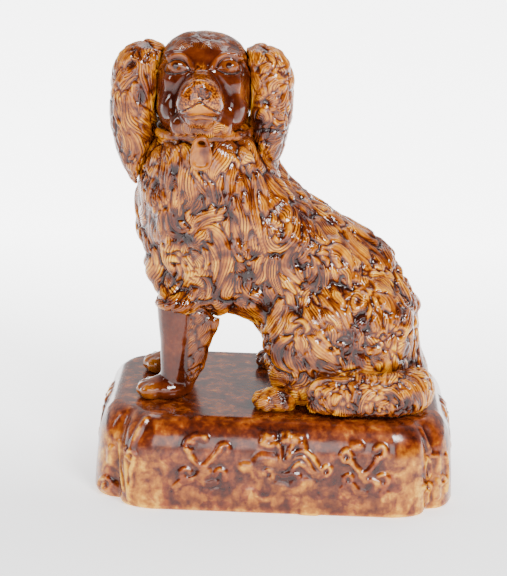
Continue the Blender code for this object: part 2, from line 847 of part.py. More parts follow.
def make_foreleg_form(name, side, feather):
    height = foreleg_height()
    x = along(0.150)
    y = middle_y() + side * FORELEG_SPREAD / 2
    rings = []
    for share, shift, depth, width in through(FORELEG_STATIONS, 1):
        rings.append(
            oval(
                (x + shift * FORELEG_DEPTH, y, above(0) + share * height),
                (depth * FORELEG_DEPTH, 0, 0),
                (0, width * FORELEG_WIDTH, 0),
                LIMB_SIDES,
            )
        )
    leg = loft(f"{name}_shaft", rings, HELPERS)
    rings = []
    for share, reach, thick in through(FEATHER_STATIONS, 1):
        back = FORELEG_DEPTH * 0.1 + reach * feather
        rings.append(
            oval(
                (x + back / 2, y, above(0) + share * height),
                (back / 2, 0, 0),
                (0, thick * FORELEG_WIDTH, 0),
                BALL_SIDES,
            )
        )
    fringe = loft(f"{name}_feather", rings, HELPERS)
    heel = x + FORELEG_DEPTH * 0.40
    return joined(f"{name}_form", [leg, fringe, *paw_pieces(name, heel, y, FOREPAW_LENGTH, FOREPAW_WIDTH)])


def make_haunch_form(name, side):
    x = along(HAUNCH_PLACE)
    y = middle_y() + side * HAUNCH_WIDTH * 0.55
    rings = []
    for share, shift, length, width in through(HAUNCH_STATIONS, BODY_ROWS):
        rings.append(
            oval(
                (x + shift * HAUNCH_LENGTH / 2, y, above(0) + share * HAUNCH_HEIGHT),
                (length * HAUNCH_LENGTH / 2, 0, 0),
                (0, width * HAUNCH_WIDTH * 0.45, 0),
                HEAD_SIDES,
                LIMB_SQUARENESS,
            )
        )
    tip = (x + 0.2 * HAUNCH_LENGTH / 2, y, above(0) + HAUNCH_HEIGHT)
    return loft(name, rings, HELPERS, tips=(None, tip))


def make_hind_paw_form(name, side):
    heel = along(HAUNCH_PLACE) - HAUNCH_LENGTH / 2 + HIND_PAW_LENGTH * 0.86
    y = middle_y() + side * (HAUNCH_WIDTH - HIND_PAW_WIDTH * 0.52)
    return joined(f"{name}_form", paw_pieces(name, heel, y, HIND_PAW_LENGTH, HIND_PAW_WIDTH))


def make_tail_form():
    """A brush that leaves the rump and lies forward along the left haunch."""
    line = []
    for share, reach, height, radius in through(TAIL_STATIONS, BODY_ROWS):
        point = (along(share), middle_y() + reach * HAUNCH_WIDTH, above(0) + height * TAIL_THICKNESS)
        line.append((np.array(point), radius * TAIL_THICKNESS))
    rings = []
    for index, (point, radius) in enumerate(line):
        before, after = line[max(index - 1, 0)][0], line[min(index + 1, len(line) - 1)][0]
        heading = Vector(after - before).normalized()
        across = heading.cross(Vector((0, 0, 1))).normalized()
        rings.append(oval(point, np.array(across) * radius, (0, 0, radius), LIMB_SIDES, LIMB_SQUARENESS))
    last, radius = line[-1]
    return loft("tail_form", rings, HELPERS, tips=(None, last - np.array((radius * 0.2, 0, 0))))


empty_scene()
PARTS = collection("pottery_dog_figure")
HELPERS = collection("forms_and_cutters")

coat = glaze("coat_glaze", (0.50, 0.23, 0.055), 0.16)
face = glaze("face_glaze", (0.24, 0.07, 0.02), 0.14)
trim = glaze("collar_glaze", (0.56, 0.28, 0.07), 0.16)
base = glaze("plinth_glaze", (0.34, 0.12, 0.03), 0.14)

make_plinth(base)

body_form = make_coat_form()
head_form = make_head_form()
collar_form = make_collar_form()
padlock_form = make_padlock_form()
hollow_form = make_hollow()
floor = floor_cutter()

body_seat = swollen(body_form)
head_seat = swollen(head_form)
collar_seat = swollen(collar_form)
padlock_seat = swollen(padlock_form)

make_body(coat, body_form, hollow_form, [collar_seat])
section("head", head_form, face, [body_seat, hollow_form, collar_seat, padlock_seat])
section("collar", collar_form, trim, [])
section("padlock", padlock_form, trim, [body_seat, collar_seat])

for ear_name, ear_side, ear_width, ear_drop in (
    ("right_ear", -1, RIGHT_EAR_WIDTH, RIGHT_EAR_DROP),
    ("left_ear", 1, LEFT_EAR_WIDTH, LEFT_EAR_DROP),
):
    ear_form = make_ear_form(f"{ear_name}_form", ear_side, ear_width, ear_drop)
    section(ear_name, ear_form, coat, [head_seat, body_seat, collar_seat])

haunch_seats = {}
for side_name, side_sign, feather_reach in (("left", -1, LEFT_FEATHER), ("right", 1, RIGHT_FEATHER)):
    leg_form = make_foreleg_form(f"{side_name}_foreleg", side_sign, feather_reach)
    section(f"{side_name}_foreleg", leg_form, face, [body_seat, floor])
    haunch_form = make_haunch_form(f"{side_name}_haunch_form", side_sign)
    haunch_seats[side_name] = swollen(haunch_form)
    section(f"{side_name}_haunch", haunch_form, coat, [body_seat])
    paw_form = make_hind_paw_form(f"{side_name}_hind_paw", side_sign)
    section(f"{side_name}_hind_paw", paw_form, coat, [floor, haunch_seats[side_name]], "MANIFOLD")

tail_form = make_tail_form()
section("tail", tail_form, coat, [body_seat, haunch_seats["left"], floor])
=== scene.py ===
"""Looks of the pottery dog figure: modelled coat, face and plinth ornament under a brown glaze.

Metres, +Z up, in the frame of the solids. Each piece of the coat starts from
the solids that it replaces: they are fused and smoothed, overlapping locks of
hair are laid over the surface, and the glaze is pooled where it is hollow.
"""

import math
from itertools import product

import bmesh
import bpy
import numpy as np
from mathutils import Matrix, Vector
from mathutils.bvhtree import BVHTree


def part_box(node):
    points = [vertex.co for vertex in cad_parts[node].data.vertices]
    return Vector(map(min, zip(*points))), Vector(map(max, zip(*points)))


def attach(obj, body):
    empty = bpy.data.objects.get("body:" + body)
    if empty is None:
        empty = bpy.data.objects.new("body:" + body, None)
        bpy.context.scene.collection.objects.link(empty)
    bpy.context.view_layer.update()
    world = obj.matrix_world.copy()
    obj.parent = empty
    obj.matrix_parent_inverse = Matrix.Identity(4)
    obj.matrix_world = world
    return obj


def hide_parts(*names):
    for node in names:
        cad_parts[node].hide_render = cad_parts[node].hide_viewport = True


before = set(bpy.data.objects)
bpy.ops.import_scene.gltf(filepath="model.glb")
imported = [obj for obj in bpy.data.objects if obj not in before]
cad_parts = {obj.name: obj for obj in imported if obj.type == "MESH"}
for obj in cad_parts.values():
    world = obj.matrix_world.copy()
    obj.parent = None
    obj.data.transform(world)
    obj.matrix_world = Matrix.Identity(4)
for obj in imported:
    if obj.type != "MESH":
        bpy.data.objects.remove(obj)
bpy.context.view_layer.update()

# Photograph: frame, lens and place of the camera
PHOTO_SIZE = (507, 576)
FOCAL_PIXELS = 2000
SENSOR = 36
CAMERA_TARGET = Vector((-0.01571, 0.0, 0.11217))
CAMERA_DISTANCE = 1.17813
CAMERA_ELEVATION = math.radians(15.533)
CAMERA_YAW = math.radians(1.0)
CAMERA_ROLL = math.radians(1.8)

# Room: what the lights point at, and the brightness from in front of the figure to behind it
LIT_PLACE = (0, 0, 0.12)
ROOM_STOPS = ((0.0, (0.04, 0.04, 0.04)), (0.45, (0.08, 0.08, 0.08)), (0.75, (1.0, 1.0, 1.0)))
FLOOR_SIZE = 6
FLOOR_GLOW = (0.98, 5.5)
PAPER_STOPS = ((0.3, (0.90, 0.90, 0.91)), (0.7, (0.94, 0.94, 0.945)))

# Sculpting
COARSE = 0.0020
FINE_LEVELS = 2
SEAL = 0.00035
SEED = 7
CANDIDATES = 9000
NEXT_CELLS = list(product((-1, 0, 1), repeat=3))
LEAP = 0.010
SEEN_PITCH = 0.0017
EDGE_SOFTNESS = 3.0
SEAM_WIDTH = 0.0007
MET = 0.9
FEWEST_STEPS = 6
LOCK_END_SHADE = 0.13
SOFT_ROUNDS = 8


def link(name, data):
    made = bpy.data.objects.new(name, data)
    bpy.context.scene.collection.objects.link(made)
    return made


def mesh_from(shape, name):
    """A mesh of a bmesh shape, which is freed."""
    mesh = bpy.data.meshes.new(name)
    shape.to_mesh(mesh)
    shape.free()
    return mesh


def rows_of(table):
    """The numbers of a table, one row a line; a line that starts with a space goes on with the last row."""
    rows = table.replace("\n ", ",").replace(",", " ").strip().splitlines()
    return [[float(number) for number in row.split()] for row in rows]


# Camera: its right, up and back directions before and after the roll, and its place
LEVEL = math.cos(CAMERA_ELEVATION)
BACK = Vector((math.sin(CAMERA_YAW) * LEVEL, -math.cos(CAMERA_YAW) * LEVEL, math.sin(CAMERA_ELEVATION)))
LEVEL_RIGHT = Vector((math.cos(CAMERA_YAW), math.sin(CAMERA_YAW), 0))
LEVEL_UP = BACK.cross(LEVEL_RIGHT)
RIGHT = math.cos(CAMERA_ROLL) * LEVEL_RIGHT + math.sin(CAMERA_ROLL) * LEVEL_UP
UP = math.cos(CAMERA_ROLL) * LEVEL_UP - math.sin(CAMERA_ROLL) * LEVEL_RIGHT
LENS_PLACE = CAMERA_TARGET + CAMERA_DISTANCE * BACK


def look_from_photo():
    lens = bpy.data.cameras.new("photo_camera")
    lens.sensor_width = SENSOR
    lens.lens = FOCAL_PIXELS * SENSOR / PHOTO_SIZE[1]
    lens.clip_start = 0.05
    lens.clip_end = 20
    camera = link("photo_camera", lens)
    camera.matrix_world = Matrix.Translation(LENS_PLACE) @ Matrix((RIGHT, UP, BACK)).transposed().to_4x4()
    bpy.context.scene.camera = camera


def seen_at(tree, pixel):
    """Where the line of sight through a pixel of the photograph meets a surface."""
    across = float(pixel[0]) - PHOTO_SIZE[0] / 2
    down = float(pixel[1]) - PHOTO_SIZE[1] / 2
    sight = across * RIGHT - down * UP - FOCAL_PIXELS * BACK
    return tree.ray_cast(LENS_PLACE, sight.normalized())[:2]


# Light and floor


def area_light(name, place, size, power):
    lamp = bpy.data.lights.new(name, "AREA")
    lamp.shape = "RECTANGLE"
    lamp.size, lamp.size_y = size
    lamp.energy = power
    made = link(name, lamp)
    made.location = place
    made.rotation_euler = (Vector(place) - Vector(LIT_PLACE)).to_track_quat("Z", "Y").to_euler()


def studio():
    """Softboxes all round, the main ones in front, and a white room that is brighter behind the figure."""
    area_light("key_light", (0.62, -1.15, 1.10), (0.46, 0.36), 35)
    area_light("front_light", (-0.10, -1.70, 0.46), (1.30, 0.62), 15)
    area_light("left_light", (-1.4, -0.5, 0.8), (0.18, 0.7), 6)
    area_light("top_light", (0.1, 0.7, 1.7), (1.4, 0.8), 18)
    world = bpy.data.worlds.new("white_room")
    world.use_nodes = True
    tree = world.node_tree
    level = ramp(tree, scaled(tree, depth_of(tree, "Generated"), 0.5, 0.5), ROOM_STOPS)
    tree.links.new(level, tree.nodes["Background"].inputs["Color"])
    bpy.context.scene.world = world


def floor():
    shape = bmesh.new()
    bmesh.ops.create_grid(shape, x_segments=1, y_segments=1, size=FLOOR_SIZE)
    made = link("floor", mesh_from(shape, "floor"))
    finish, tree, shader = new_material("floor_paper")
    tree.links.new(ramp(tree, noise(tree, 3.0), PAPER_STOPS), shader.inputs["Base Color"])
    shader.inputs["Roughness"].default_value = 0.8
    shader.inputs["Specular IOR Level"].default_value = 0.1
    shader.inputs["Emission Color"].default_value = (1, 1, 1, 1)
    behind = scaled(tree, depth_of(tree, "Object"), 1.6, 0.1)
    behind.node.use_clamp = True
    glow = scaled(tree, behind, FLOOR_GLOW[1] - FLOOR_GLOW[0], FLOOR_GLOW[0])
    tree.links.new(glow, shader.inputs["Emission Strength"])
    made.data.materials.append(finish)


# Glaze


def add_node(tree, kind, **settings):
    node = tree.nodes.new(kind)
    for key, value in settings.items():
        setattr(node, key, value)
    return node


def new_material(name):
    made = bpy.data.materials.new(name)
    made.use_nodes = True
    return made, made.node_tree, made.node_tree.nodes["Principled BSDF"]


def ramp(tree, factor, stops):
    node = add_node(tree, "ShaderNodeValToRGB")
    elements = node.color_ramp.elements
    while len(elements) < len(stops):
        elements.new(0.5)
    for element, (place, colour) in zip(elements, stops):
        element.position = place
        element.color = (*colour, 1)
    tree.links.new(factor, node.inputs["Fac"])
    return node.outputs["Color"]


def noise(tree, scale, detail=3.0, distortion=0.0):
    place = add_node(tree, "ShaderNodeTexCoord").outputs["Object"]
    node = add_node(tree, "ShaderNodeTexNoise")
    for socket, value in (("Scale", scale), ("Detail", detail), ("Distortion", distortion)):
        node.inputs[socket].default_value = value
    tree.links.new(place, node.inputs["Vector"])
    return node.outputs["Fac"]


def depth_of(tree, places):
    """How far back a point lies, along +Y."""
    node = add_node(tree, "ShaderNodeSeparateXYZ")
    tree.links.new(add_node(tree, "ShaderNodeTexCoord").outputs[places], node.inputs[0])
    return node.outputs["Y"]


def attribute(tree, name):
    return add_node(tree, "ShaderNodeAttribute", attribute_name=name).outputs["Fac"]


def combined(tree, operation, *values):
    node = add_node(tree, "ShaderNodeMath", operation=operation)
    for socket, value in zip(node.inputs, values):
        if isinstance(value, (int, float)):
            socket.default_value = value
        else:
            tree.links.new(value, socket)
    return node.outputs[0]


def scaled(tree, value, gain, offset):
    return combined(tree, "MULTIPLY_ADD", value, gain, offset)


def mixed(tree, factor, first, second):
    node = add_node(tree, "ShaderNodeMix", data_type="RGBA")
    for socket, value in ((0, factor), (6, first), (7, second)):
        tree.links.new(value, node.inputs[socket])
    return node.outputs[2]


RIDGE_GAIN = 0.34
RIDGE_SCALE = 0.00030
HOLLOW_SCALE = 0.0013
AMBER_STOPS = (
    (0.00, (0.018, 0.003, 0.001)),
    (0.22, (0.055, 0.008, 0.001)),
    (0.42, (0.135, 0.025, 0.001)),
    (0.60, (0.310, 0.078, 0.002)),
    (0.80, (0.550, 0.200, 0.005)),
    (1.00, (0.820, 0.430, 0.030)),
)
RUSSET_STOPS = (
    (0.00, (0.012, 0.002, 0.001)),
    (0.30, (0.034, 0.004, 0.001)),
    (0.55, (0.095, 0.013, 0.002)),
    (0.80, (0.250, 0.046, 0.004)),
    (1.00, (0.460, 0.150, 0.015)),
)


def glaze(
    name, base, patches=(60, 0.8), run_scale=70, runs=(2.6, -1.45), run_depth=-0.1, grain=(420, 0.24),
    rough=0.05,
):
    """Brown glaze that runs off the ridges, where the pale body shows amber, and gathers thick in the
    hollows.
    """
    made, tree, shader = new_material(name)
    fine = scaled(tree, attribute(tree, "ridge"), RIDGE_GAIN, base)
    patchy = scaled(tree, noise(tree, patches[0], 4, 0.4), patches[1], -patches[1] / 2)
    grainy = scaled(tree, noise(tree, grain[0], 3), grain[1], -grain[1] / 2)
    dots = combined(tree, "MINIMUM", scaled(tree, noise(tree, 900, 2), 3.2, -1.75), 0.15)
    dots = combined(tree, "MULTIPLY", dots, attribute(tree, "speck"))
    level = fine
    # The hollow layer brings pooled glaze and the painted shade and highlight patches
    for part in (patchy, grainy, dots, attribute(tree, "hollow")):
        level = combined(tree, "ADD", level, part)
    thick = scaled(tree, noise(tree, run_scale, 3, 0.6), *runs)
    thick.node.use_clamp = True
    level = scaled(tree, thick, run_depth, level)
    zone = combined(tree, "SUBTRACT", attribute(tree, "amber"), thick)
    zone.node.use_clamp = True
    colour = mixed(tree, zone, ramp(tree, level, RUSSET_STOPS), ramp(tree, level, AMBER_STOPS))
    tree.links.new(colour, shader.inputs["Base Color"])
    tree.links.new(scaled(tree, noise(tree, 160, 2), 0.08, rough), shader.inputs["Roughness"])
    shader.inputs["IOR"].default_value = 1.5
    bump = add_node(tree, "ShaderNodeBump")
    bump.inputs["Strength"].default_value = 0.12
    bump.inputs["Distance"].default_value = 0.0006
    tree.links.new(noise(tree, 260, 2), bump.inputs["Height"])
    tree.links.new(bump.outputs["Normal"], shader.inputs["Normal"])
    return made


# Meshes


def node_copy(name):
    """A welded copy of a CAD node's mesh."""
    shape = bmesh.new()
    shape.from_mesh(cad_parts[name].data)
    bmesh.ops.remove_doubles(shape, verts=shape.verts, dist=1e-6)
    return mesh_from(shape, f"{name}_copy")


def ball_mesh(middle, half_sizes):
    shape = bmesh.new()
    bmesh.ops.create_uvsphere(shape, u_segments=32, v_segments=20, radius=1)
    bmesh.ops.scale(shape, vec=half_sizes, verts=shape.verts)
    bmesh.ops.translate(shape, vec=middle, verts=shape.verts)
    return mesh_from(shape, "ball")


def applied(item):
    """The item's mesh after its modifiers; the item itself is removed."""
    bpy.context.view_layer.update()
    graph = bpy.context.evaluated_depsgraph_get()
    mesh = bpy.data.meshes.new_from_object(item.evaluated_get(graph))
    bpy.data.objects.remove(item)
    return mesh


def fused(name, meshes, swell=SEAL, voxel=COARSE, smooth=6, levels=FINE_LEVELS):
    """One smooth closed form made of meshes that touch or overlap, without the hollow inside."""
    shape = bmesh.new()
    for mesh in meshes:
        piece = bmesh.new()
        piece.from_mesh(mesh)
        piece.normal_update()
        for vertex in piece.verts:
            vertex.co += vertex.normal * swell
        shape.from_mesh(mesh_from(piece, "grown"))
    item = link(name, mesh_from(shape, name))
    remesh = item.modifiers.new("skin", "REMESH")
    remesh.mode = "VOXEL"
    remesh.voxel_size = voxel
    skin = link(name, applied(item))
    outer = largest_part(skin)
    relax = outer.modifiers.new("relax", "SMOOTH")
    relax.factor = 0.6
    relax.iterations = smooth
    finer = outer.modifiers.new("finer", "SUBSURF")
    finer.levels = finer.render_levels = levels
    return applied(outer)


def largest_part(item):
    bpy.ops.object.select_all(action="DESELECT")
    item.select_set(True)
    bpy.context.view_layer.objects.active = item
    bpy.ops.mesh.separate(type="LOOSE")
    parts = sorted(bpy.context.selected_objects, key=lambda part: -len(part.data.vertices))
    for part in parts[1:]:
        bpy.data.objects.remove(part)
    return parts[0]


class Clay:
    """A mesh's vertices as arrays, to be modelled and glazed and then put back."""

    def __init__(self, mesh):
        self.mesh = mesh
        count = len(mesh.vertices)
        self.points = self.read(mesh.vertices, "co", 3)
        self.edges = np.empty(len(mesh.edges) * 2, np.int32)
        mesh.edges.foreach_get("vertices", self.edges)
        self.edges = self.edges.reshape(-1, 2)
        self.degree = np.maximum(np.bincount(self.edges.ravel(), minlength=count), 1)
        self.normals = self.find_normals()
        self.by_height = np.argsort(self.points[:, 2])
        self.heights = self.points[self.by_height, 2]
        faces = [tuple(face.vertices) for face in mesh.polygons]
        self.tree = BVHTree.FromPolygons([vertex.co for vertex in mesh.vertices], faces)
        self.corners = np.array([face[0] for face in faces])
        self.rise, self.shade, self.speck = np.zeros((3, count))
        self.amber = np.ones(count)

    @staticmethod
    def read(items, what, width):
        values = np.empty(len(items) * width, np.float32)
        items.foreach_get(what, values)
        return values.reshape(-1, width).astype(float)

    def find_normals(self):
        self.mesh.vertices.foreach_set("co", self.points.ravel().astype(np.float32))
        self.mesh.update()
        return self.read(self.mesh.vertex_normals, "vector", 3)

    def averaged(self, values, rounds):
        """Values evened out over neighbours; more rounds reach further."""
        start, end = self.edges[:, 0], self.edges[:, 1]
        values = np.array(values, float).reshape(len(self.points), -1)
        for _ in range(rounds):
            total = np.empty_like(values)
            for axis in range(values.shape[1]):
                column = values[:, axis]
                total[:, axis] = np.bincount(start, column[end], len(column))
                total[:, axis] += np.bincount(end, column[start], len(column))
            values = 0.4 * values + 0.6 * total / self.degree[:, None]
        return values

    def settle(self, sink):
        """Moves each point out by the height modelled so far, less the sink."""
        self.points = self.points + self.normals * (self.rise - sink)[:, None]
        self.normals = self.find_normals()

    def standing(self, rounds):
        """How far each point stands above its surroundings: hollows are negative."""
        return ((self.points - self.averaged(self.points, rounds)) * self.normals).sum(axis=1)

    def finish(self, name, material, nodes, slot, fine=RIDGE_SCALE, deep=HOLLOW_SCALE, where=1.0):
        """Paints the ridges, hollows and zones that the glaze reads, and makes the piece."""
        steps = 4 ** (FINE_LEVELS - 1)
        hollow = where * np.clip(self.standing(20 * steps) / deep, -1, 0.25)
        # The hollow layer: glaze pooled in hollows, plus the shade array, which carries painted shade and a
        # painted highlight
        for layer, values in (
            ("ridge", where * np.tanh(self.standing(2 * steps) / fine)),
            ("hollow", 0.45 * hollow + self.shade),
            ("amber", self.amber),
            ("speck", self.speck),
        ):
            painted = self.mesh.attributes.new(layer, "FLOAT", "POINT")
            painted.data.foreach_set("value", values.astype(np.float32))
        self.mesh.materials.clear()
        self.mesh.materials.append(material)
        self.mesh.shade_smooth()
        made = link(name, self.mesh)
        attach(made, "root")
        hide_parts(*nodes)

    def near_line(self, points, normals, reach):
        """Points near a line over the surface: which, how far off, how far along, and on which side."""
        low, high = points.min(axis=0) - reach, points.max(axis=0) + reach
        first, last = np.searchsorted(self.heights, (low[2], high[2]))
        near = self.by_height[first:last]
        for axis in (0, 1):
            column = self.points[near, axis]
            near = near[(column > low[axis]) & (column < high[axis])]
        here = self.points[near]
        spans = points[1:] - points[:-1]
        offset = here[:, None, :] - points[None, :-1]
        t = np.clip((offset * spans[None]).sum(axis=2) / (spans**2).sum(axis=1)[None], 0, 1)
        gaps = offset - t[..., None] * spans[None]
        distance = (gaps**2).sum(axis=2)
        best = distance.argmin(axis=1) if len(near) else np.zeros(0, int)
        rows = np.arange(len(near))
        gap = gaps[rows, best]
        across = (gap * np.cross(normals[best], spans[best])).sum(axis=1)
        facing = (self.normals[near] * normals[best]).sum(axis=1) > 0.1
        along = (best + t[rows, best]) / len(spans)
        return near, np.sqrt(distance[rows, best]), along, np.sign(across), facing

    def carve(self, line, half_width, rise, shade, amber=None):
        """A round ridge along a line, or a groove where the rise is negative."""
        points, normals = line
        if len(points) < 2:
            return
        near, distance, _, _, facing = self.near_line(points, normals, half_width)
        profile = facing * np.clip(1 - (distance / half_width) ** 2, 0, 1) ** 1.5
        self.rise[near] += rise * profile
        self.shade[near] += shade * profile
        if amber is not None:
            self.amber[near] += (amber - self.amber[near]) * profile

    def mound(self, middle, half_sizes, rise, power):
        """A swelling of the surface round a place seen in the photograph, in pixels."""
        place, normal = seen_at(self.tree, middle)
        if place is None:
            return
        away = (pixels_of(self.points) - middle) / half_sizes
        facing = (self.normals @ np.array(normal)) > 0.2
        self.rise += facing * rise * np.clip(1 - (away**2).sum(axis=1), 0, 1) ** power

    def seen_line(self, pixels, step=2.0):
        """A smooth line on the surface through places seen in the photograph."""
        found = [seen_at(self.tree, pixel) for pixel in curve_through(pixels, step)]
        found = [(tuple(point), tuple(normal)) for point, normal in found if point is not None]
        points = np.array([point for point, _ in found]).reshape(-1, 3)
        normals = np.array([normal for _, normal in found]).reshape(-1, 3)
        leaps = np.nonzero(np.linalg.norm(np.diff(points, axis=0), axis=1) > LEAP)[0] + 1
        run = max(np.split(np.arange(len(points)), leaps), key=len)
        return points[run], normals[run]

    def pool(self, table):
        """Darkens the glaze where the photograph shows dark patches, in its pixels:
        pooled glaze, and painted shade in recesses and under parts.
        """
        pixels = pixels_of(self.points)
        facing = self.normals @ np.array(BACK) > 0.05
        for x, y, half_x, half_y, depth in table:
            mask = facing * mask_round(pixels, (x, y), (1.15 * half_x, 1.15 * half_y), 0.1)
            self.shade -= 0.17 * depth * mask
            self.amber -= 0.6 * depth * mask
            self.rise -= 0.0006 * depth * mask


def curve_through(points, step):
    """Points about one step apart on a smooth curve through the given ones."""
    table = np.reshape(points, (-1, 2))
    ends = np.vstack([2 * table[0] - table[1], table, 2 * table[-1] - table[-2]])
    made = []
    for before, start, end, after in zip(ends, ends[1:], ends[2:], ends[3:]):
        count = max(1, int(np.linalg.norm(end - start) / step))
        for t in np.arange(count) / count:
            bend = 2 * before - 5 * start + 4 * end - after
            twist = 3 * start - before - 3 * end + after
            made.append(start + 0.5 * t * (end - before + t * (bend + t * twist)))
    return np.array([*made, table[-1]])


def pixels_of(points):
    """Where points show in the photograph."""
    offset = points - np.array(LENS_PLACE)
    depth = -(offset @ np.array(BACK))
    across = FOCAL_PIXELS * (offset @ np.array(RIGHT)) / depth + PHOTO_SIZE[0] / 2
    down = PHOTO_SIZE[1] / 2 - FOCAL_PIXELS * (offset @ np.array(UP)) / depth
    return np.stack([across, down], axis=1)


def between(pixels, rows):
    """How far inside a band the pixels lie; each row gives the band's two edges at a height."""
    table = np.asarray(rows, float)
    low = np.interp(pixels[:, 1], table[:, 0], table[:, 1])
    high = np.interp(pixels[:, 1], table[:, 0], table[:, 2])
    inside = np.minimum(pixels[:, 0] - low, high - pixels[:, 0])
    ends = np.minimum(pixels[:, 1] - table[0, 0], table[-1, 0] - pixels[:, 1])
    return smoothstep(-EDGE_SOFTNESS, EDGE_SOFTNESS, np.minimum(inside, ends))


def smoothstep(low, high, value):
    t = np.clip((value - low) / (high - low), 0, 1)
    return t * t * (3 - 2 * t)


def mask_round(pixels, middle, half_sizes, core):
    away = (pixels - np.array(middle)) / np.array(half_sizes)
    return 1 - smoothstep(core, 1.15, np.sqrt((away**2).sum(axis=1)))


# Locks of hair


class Hair:
    """Locks that share out a surface: each point belongs to the lock whose middle line is nearest."""

    def __init__(self, clay, keep):
        count = len(clay.points)
        self.clay = clay
        self.keep = keep
        self.first, self.second = np.full((2, count), 2.0)
        self.width = np.full(count, 0.004)
        self.along = np.full(count, 0.5)
        self.heading, self.beside = np.zeros((2, count, 3))
        self.turn, self.lift, self.tone = np.zeros((3, count))

    def add(self, line, half_width, pitch, rng):
        points, normals = line
        moved = np.linalg.norm(np.diff(points, axis=0), axis=1) > 1e-6
        if moved.sum() < 3:
            return
        points, normals = points[1:][moved], normals[1:][moved]
        clay = self.clay
        near, distance, along, side, facing = clay.near_line(points, normals, 2.0 * half_width)
        kept = facing & self.keep[near]
        near, distance, along, side = near[kept], distance[kept], along[kept], side[kept]
        taper = (0.6 + 0.4 * smoothstep(0.0, 0.2, along)) * (1 - 0.5 * smoothstep(0.55, 1.0, along))
        reach = distance / (half_width * taper)
        spans = np.diff(points, axis=0)
        spans /= np.linalg.norm(spans, axis=1)[:, None]
        course = spans[np.minimum((along * len(spans)).astype(int), len(spans) - 1)]
        closer = reach < self.first[near]
        next_best = ~closer & (reach < self.second[near])
        behind = near[next_best]
        self.second[behind] = reach[next_best]
        self.beside[behind] = course[next_best]
        mine = near[closer]
        self.second[mine] = self.first[mine]
        self.beside[mine] = self.heading[mine]
        self.first[mine] = reach[closer]
        self.heading[mine] = course[closer]
        self.along[mine] = along[closer]
        self.width[mine] = half_width * taper[closer]
        phase = rng.uniform(0, 1)
        waver = 0.22 * np.sin(2 * np.pi * (1.4 * along[closer] + phase))
        self.turn[mine] = side[closer] * reach[closer] * half_width / pitch + waver
        self.lift[mine] = rng.uniform(-1, 1)
        self.tone[mine] = rng.uniform(-1, 1)

    def add_seen(self, locks, rng):
        """Locks that the photograph shows: each a width and places, in its pixels."""
        for width, *pixels in locks:
            half_width = width / 2 * CAMERA_DISTANCE / FOCAL_PIXELS
            self.add(self.clay.seen_line(pixels), half_width, SEEN_PITCH * rng.uniform(0.85, 1.2), rng)

    def wander(self, start, heading, length, sway, waves, phase, hook, steps):
        """A line over the surface that sways and hooks round, keeps beside other locks and ends at them."""
        clay = self.clay
        point, normal, face, _ = clay.tree.find_nearest(Vector(start))
        heading = Vector(heading)
        points, normals = [], []
        turned = 0.0
        for step in range(steps):
            here = clay.corners[face]
            if step > FEWEST_STEPS and self.first[here] < MET:
                break
            points.append(point)
            normals.append(normal)
            share = step / (steps - 1)
            aim = sway * math.sin(2 * math.pi * (waves * share + phase))
            aim += hook * smoothstep(0.5, 1.0, share)
            heading = heading - heading.dot(normal) * normal
            heading = heading.normalized()
            heading = Matrix.Rotation(aim - turned, 3, normal) @ heading
            turned = aim
            if self.first[here] < 2.0:
                beside = Vector(self.heading[here])
                if beside.dot(heading) > 0:
                    heading = heading.lerp(beside, 0.3 * smoothstep(2.0, MET, self.first[here]))
            point, normal, face, _ = clay.tree.find_nearest(point + heading * (length / (steps - 1)))
        return np.array([tuple(p) for p in points]), np.array([tuple(n) for n in normals])

    def comb(self, flow, style, rng):
        """Fills the rest of the surface with locks that follow the lie of the hair."""
        clay = self.clay
        for spacing, room, lock_length, width, pitch, sway, waves, hook, stray in style:
            for index in seeds_on(clay, spacing, rng, self.keep & (self.first > room)):
                if self.first[index] < room:
                    continue
                start, normal = clay.points[index], clay.normals[index]
                hand = rng.choice((-1, 1))
                length = lock_length * rng.uniform(0.75, 1.25)
                beside = self.first[index] < 2.0
                heading = self.heading[index] if beside else flow(start, normal)
                heading = heading / np.linalg.norm(heading)
                line = self.wander(
                    start, heading + rng.normal(0, stray, 3), length,
                    hand * sway * rng.uniform(0.6, 1.3) * (0.4 if beside else 1.0),
                    waves * rng.uniform(0.8, 1.2), rng.uniform(0, 0.25),
                    -hand * hook * rng.choice((0.15, 0.5, 1.0)) * rng.uniform(0.8, 1.2),
                    max(8, int(length / min(0.0022, width / 4))),
                )
                self.add(line, width / 2 * rng.uniform(0.8, 1.2), pitch, rng)

    def press(self, lobe, groove):
        """Raises each lock as a rounded lobe with grooves along it, and darkens the seams between."""
        edge = 0.5 * (self.second - self.first) * self.width
        alike = np.abs((self.heading * self.beside).sum(axis=1))
        parted = 1 - 0.6 * smoothstep(0.75, 0.97, alike)
        round_up = 1 - np.sin(np.pi / 2 * np.clip(edge / (0.8 * self.width), 0, 1)) ** 0.8
        seam = parted * np.exp(-((edge / SEAM_WIDTH) ** 2))
        cut = np.clip(np.cos(2 * np.pi * self.turn), 0, 1) ** 2
        deep = 0.6 + 0.4 * np.sin(5.3 * np.round(self.turn) + 7 * self.tone)
        inside = np.maximum(smoothstep(0.0, 0.0012, edge), 1 - parted) * (self.first < 1.9)
        ends = (2 * self.along - 1) ** 4
        clay = self.clay
        raised = 0.7 * (1 - parted * round_up) + 0.25 * self.lift - 0.25 * ends
        tint = 0.07 * self.tone - LOCK_END_SHADE * ends
        soft = clay.averaged(np.stack([lobe * raised, tint], axis=1), SOFT_ROUNDS)
        cut *= deep * inside
        clay.rise += self.keep * (soft[:, 0] - 0.12 * lobe * seam - groove * cut)
        clay.shade += self.keep * (soft[:, 1] - 0.05 * seam - 0.14 * cut)


